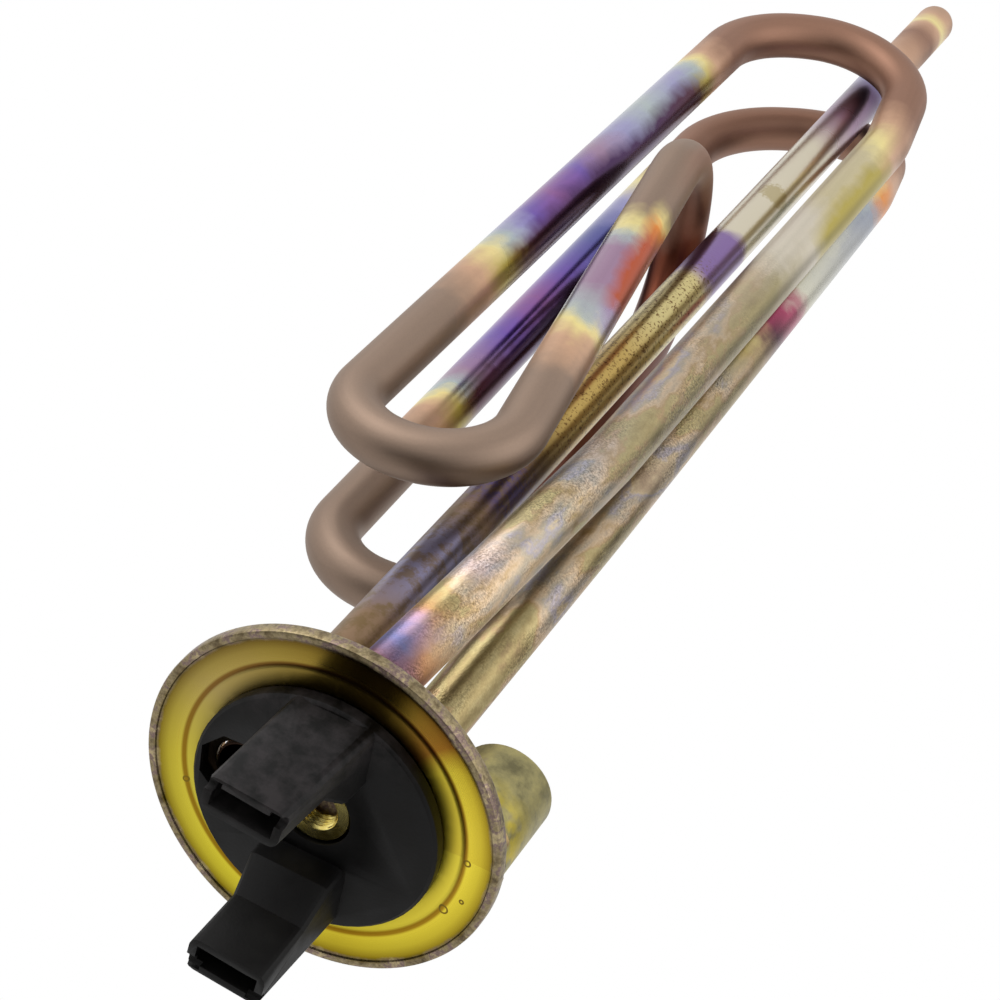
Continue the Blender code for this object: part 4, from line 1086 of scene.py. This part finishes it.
# %% A cloudy finish, and the fillets
def cloudy_finish(name, stops, scale, bump=None, detail=3.0, **numbers):
    """A finish whose tone wanders in clouds of 1000 / scale mm. The same clouds give the
    bump, as (strength, height in metres)."""
    material, tree, shader = new_finish(name, **numbers)
    spot = add_node(tree, "ShaderNodeTexCoord")
    clouds = add_node(tree, "ShaderNodeTexNoise",
                      {"Vector": spot.outputs["Object"], "Scale": scale, "Detail": detail})
    tones = add_node(tree, "ShaderNodeValToRGB", {"Fac": clouds.outputs["Fac"]}, stops=stops)
    tree.links.new(tones.outputs["Color"], shader.inputs["Base Color"])
    if bump:
        skin = add_node(tree, "ShaderNodeBump", {"Strength": bump[0], "Distance": bump[1],
                                                 "Height": clouds.outputs["Fac"]})
        tree.links.new(skin.outputs[0], shader.inputs["Normal"])
    return material


# It froze in the air of the furnace: yellow metal under a brown skin, wavy every 2 mm
braze_finish = cloudy_finish("frozen brazing brass", ((0.35, "7d6234"), (0.65, "c9a861")),
                             600.0, (0.6, 0.0001), detail=4.0, Metallic=1.0, Roughness=0.42)
LEG_FILLET_R = 4.4
POCKET_FILLET_R = 3.9
for node_name, x, y, bore in (("braze_leg_1", 0.0, LEG_SPACING / 2.0, LEG_FILLET_R),
                              ("braze_leg_2", 0.0, -LEG_SPACING / 2.0, LEG_FILLET_R),
                              ("braze_pocket", POCKET_X, 0.0, POCKET_FILLET_R)):
    fillet_profile = [(bore, 1.2), (bore + 0.15, 1.22), (bore + 0.3, 1.0), (bore + 0.5, 0.66),
                      (bore + 0.75, 0.42), (bore + 1.0, 0.3), (bore, 0.3)]

    def creep(index, angle, x=x, y=y):
        swell = noise.noise(Vector((x + 3.0 * math.cos(angle), y + 3.0 * math.sin(angle),
                                    0.7)))
        if index in (0, 6):
            return 0.0, (0.12 * swell if index == 0 else 0.0)
        return 0.22 * swell, (0.12 * swell if index < 4 else 0.0)
    fillet = turned_piece(node_name + "_run", fillet_profile, 96, braze_finish, (x, y), creep)
    stands_for(fillet, node_name)
NODES["braze_boss"].data.materials.clear()
NODES["braze_boss"].data.materials.append(braze_finish)

# %% [markdown]
# ## The centre bush
# A turned brass bush with a fine thread sits in the middle of the moulding. Its face and
# the first turns of the thread catch the light between the two shrouds.

# %% Bush finish and bush
# Fresh from the lathe it is bright and pale, with a few tarnished clouds
bush_finish = cloudy_finish("turned brass", ((0.35, "cbb04a"), (0.6, "f2e08a")), 500.0,
                            (0.15, 0.00005), Metallic=1.0, Roughness=0.26)
BUSH_BORE_R = 2.62
BUSH_STEM_R = 3.3
BUSH_HEAD_R = 4.6
bush_rows, bush_swing = threaded_wall(-2.75, -0.4, BUSH_BORE_R, pitch=0.7, depth=0.36)
bush_profile = [(BUSH_BORE_R, -0.35), (BUSH_STEM_R, -0.35), (BUSH_STEM_R, -1.4),
                (BUSH_HEAD_R, -1.4), (BUSH_HEAD_R, -2.8), (BUSH_HEAD_R - 0.15, -3.0),
                (3.0, -3.0), (2.9, -2.92)]
bush_thread = range(len(bush_profile), len(bush_profile) + len(bush_rows))
bush_profile += bush_rows
bush = turned_piece("threaded_bush", bush_profile, 96, bush_finish,
                    ripple=thread_ripple(bush_profile, bush_thread, bush_swing), crisp=20.0)
stands_for(bush, "centre_insert")

# %% [markdown]
# ## The terminal moulding and its tabs
# Their solids already have the right shape, with corners as sharp as a drawing. A real
# moulding has small radii. So each is a copy of its solid, merged, with flat faces joined
# again, and a Bevel of a few tenths of a millimetre on every corner.


# %% Rounded copies
def rounded_copy(node_name, new_name, width, finish):
    mesh = NODES[node_name].data.copy()
    work = bmesh.new()
    work.from_mesh(mesh)
    bmesh.ops.remove_doubles(work, verts=work.verts, dist=0.000002)
    bmesh.ops.dissolve_limit(work, angle_limit=math.radians(0.6), verts=work.verts,
                             edges=work.edges)
    work.to_mesh(mesh)
    work.free()
    mesh.materials.clear()
    mesh.materials.append(finish)
    made = bpy.data.objects.new(new_name, mesh)
    bpy.context.scene.collection.objects.link(made)
    bevel = made.modifiers.new("Small radii", "BEVEL")
    bevel.width = width * MM
    bevel.segments = 2
    bevel.limit_method = "ANGLE"
    bevel.angle_limit = math.radians(30.0)
    made = plain_mesh(made, new_name)
    made.data.shade_smooth()
    made.data.set_sharp_from_angle(angle=math.radians(40.0))
    return made


# %% [markdown]
# Nylon filled with glass comes out of the mould nearly black, with a dull satin sheen that
# its fibres break up. The tall shroud is greyer in clouds: dust, and a painted sheen where
# the light catches its top. The tabs are tinned brass: soft, pale grey, with faint smears of
# about 1 mm.

# %% Moulding finish, moulding and tabs
moulding_finish, tree, shader = new_finish("glass-filled black nylon", Metallic=0.0,
                                           Specular_IOR_Level=0.17)
spot = add_node(tree, "ShaderNodeTexCoord")
clouds = add_node(tree, "ShaderNodeTexNoise",
                  {"Vector": spot.outputs["Object"], "Scale": 240.0, "Detail": 5.0})
black_ramp = add_node(tree, "ShaderNodeValToRGB", {"Fac": clouds.outputs["Fac"]},
                      stops=((0.35, "0a0909"), (0.7, "131211")))
# Grey clouds on the tall shroud, beyond 9 mm from the middle: dust and a painted sheen
split = add_node(tree, "ShaderNodeSeparateXYZ", {0: spot.outputs["Object"]})
tall = add_node(tree, "ShaderNodeMapRange",
                {"Value": split.outputs[1], "From Min": 0.009, "From Max": 0.014})
dust_and_sheen = add_node(tree, "ShaderNodeTexNoise",
                {"Vector": spot.outputs["Object"], "Scale": 380.0, "Detail": 4.0,
                 "Roughness": 0.6})
dust_and_sheen_mask = add_node(tree, "ShaderNodeMapRange",
                     {"Value": dust_and_sheen.outputs["Fac"], "From Min": 0.38, "From Max": 0.65,
                      "To Max": 0.8})
dust_and_sheen_share = add_node(tree, "ShaderNodeMath",
                      {0: tall.outputs[0], 1: dust_and_sheen_mask.outputs[0]}, operation="MULTIPLY")
dusty_and_sheened = add_node(tree, "ShaderNodeMix",
                 {0: dust_and_sheen_share.outputs[0], 6: black_ramp.outputs["Color"],
                  7: linear("363233")}, data_type="RGBA")
tree.links.new(dusty_and_sheened.outputs[2], shader.inputs["Base Color"])
satin = add_node(tree, "ShaderNodeMapRange",
                 {"Value": clouds.outputs["Fac"], "From Min": 0.3, "From Max": 0.7,
                  "To Min": 0.42, "To Max": 0.56})
tree.links.new(satin.outputs[0], shader.inputs["Roughness"])
fibres = add_node(tree, "ShaderNodeTexNoise",
                  {"Vector": spot.outputs["Object"], "Scale": 2400.0, "Detail": 2.0})
moulding_bump = add_node(tree, "ShaderNodeBump",
                         {"Strength": 0.3, "Distance": 0.00005,
                          "Height": fibres.outputs["Fac"]})
tree.links.new(moulding_bump.outputs[0], shader.inputs["Normal"])
moulding = rounded_copy("terminal_base", "terminal_moulding", 0.2, moulding_finish)
stands_for(moulding, "terminal_base")

tab_finish = cloudy_finish("tinned brass strip", ((0.0, "a8a497"), (1.0, "d8d5c8")), 900.0,
                           Metallic=1.0, Roughness=0.32)
for number in ("1", "2"):
    tab = rounded_copy("terminal_tab_" + number, "push_on_tab_" + number, 0.08, tab_finish)
    stands_for(tab, "terminal_tab_" + number)

# %% [markdown]
# ## What the tube holds inside
# These pieces are hidden in the finished element, but a cut-away shows them: pressed
# magnesia powder round the resistance winding, steel cold pins, resin seals and ceramic
# end bushes. They keep their solids and get their real finishes.

# %% Inner finishes
# Powder and ceramic are chalky, the two metals satin and the resin waxy. Each row: finish,
# dark and light tone, roughness, metallic, clouds' scale, nodes.
INNER = (
    ("pressed magnesia powder", "cbc9c0", "e6e4da", 0.9, 0.0, 1500.0, ("magnesia_fill",)),
    ("drawn resistance alloy", "6d6a66", "97948f", 0.4, 1.0, 900.0, ("resistance_coil",)),
    ("plain pin steel", "8f8d89", "b9b7b2", 0.35, 1.0, 700.0, ("cold_pin_1", "cold_pin_2")),
    ("cast silicone resin", "6b2418", "8a3322", 0.45, 0.0, 500.0,
     ("end_seal_1", "end_seal_2")),
    ("unglazed steatite", "d8d2c3", "ece7da", 0.6, 0.0, 1100.0,
     ("end_bush_1", "end_bush_2")),
)
for finish_name, dark, light, roughness, metallic, grain, node_names in INNER:
    inner_finish = cloudy_finish(finish_name, ((0.35, dark), (0.65, light)), grain,
                                 (0.3, 0.00005), Roughness=roughness, Metallic=metallic)
    for node_name in node_names:
        NODES[node_name].data.materials.clear()
        NODES[node_name].data.materials.append(inner_finish)
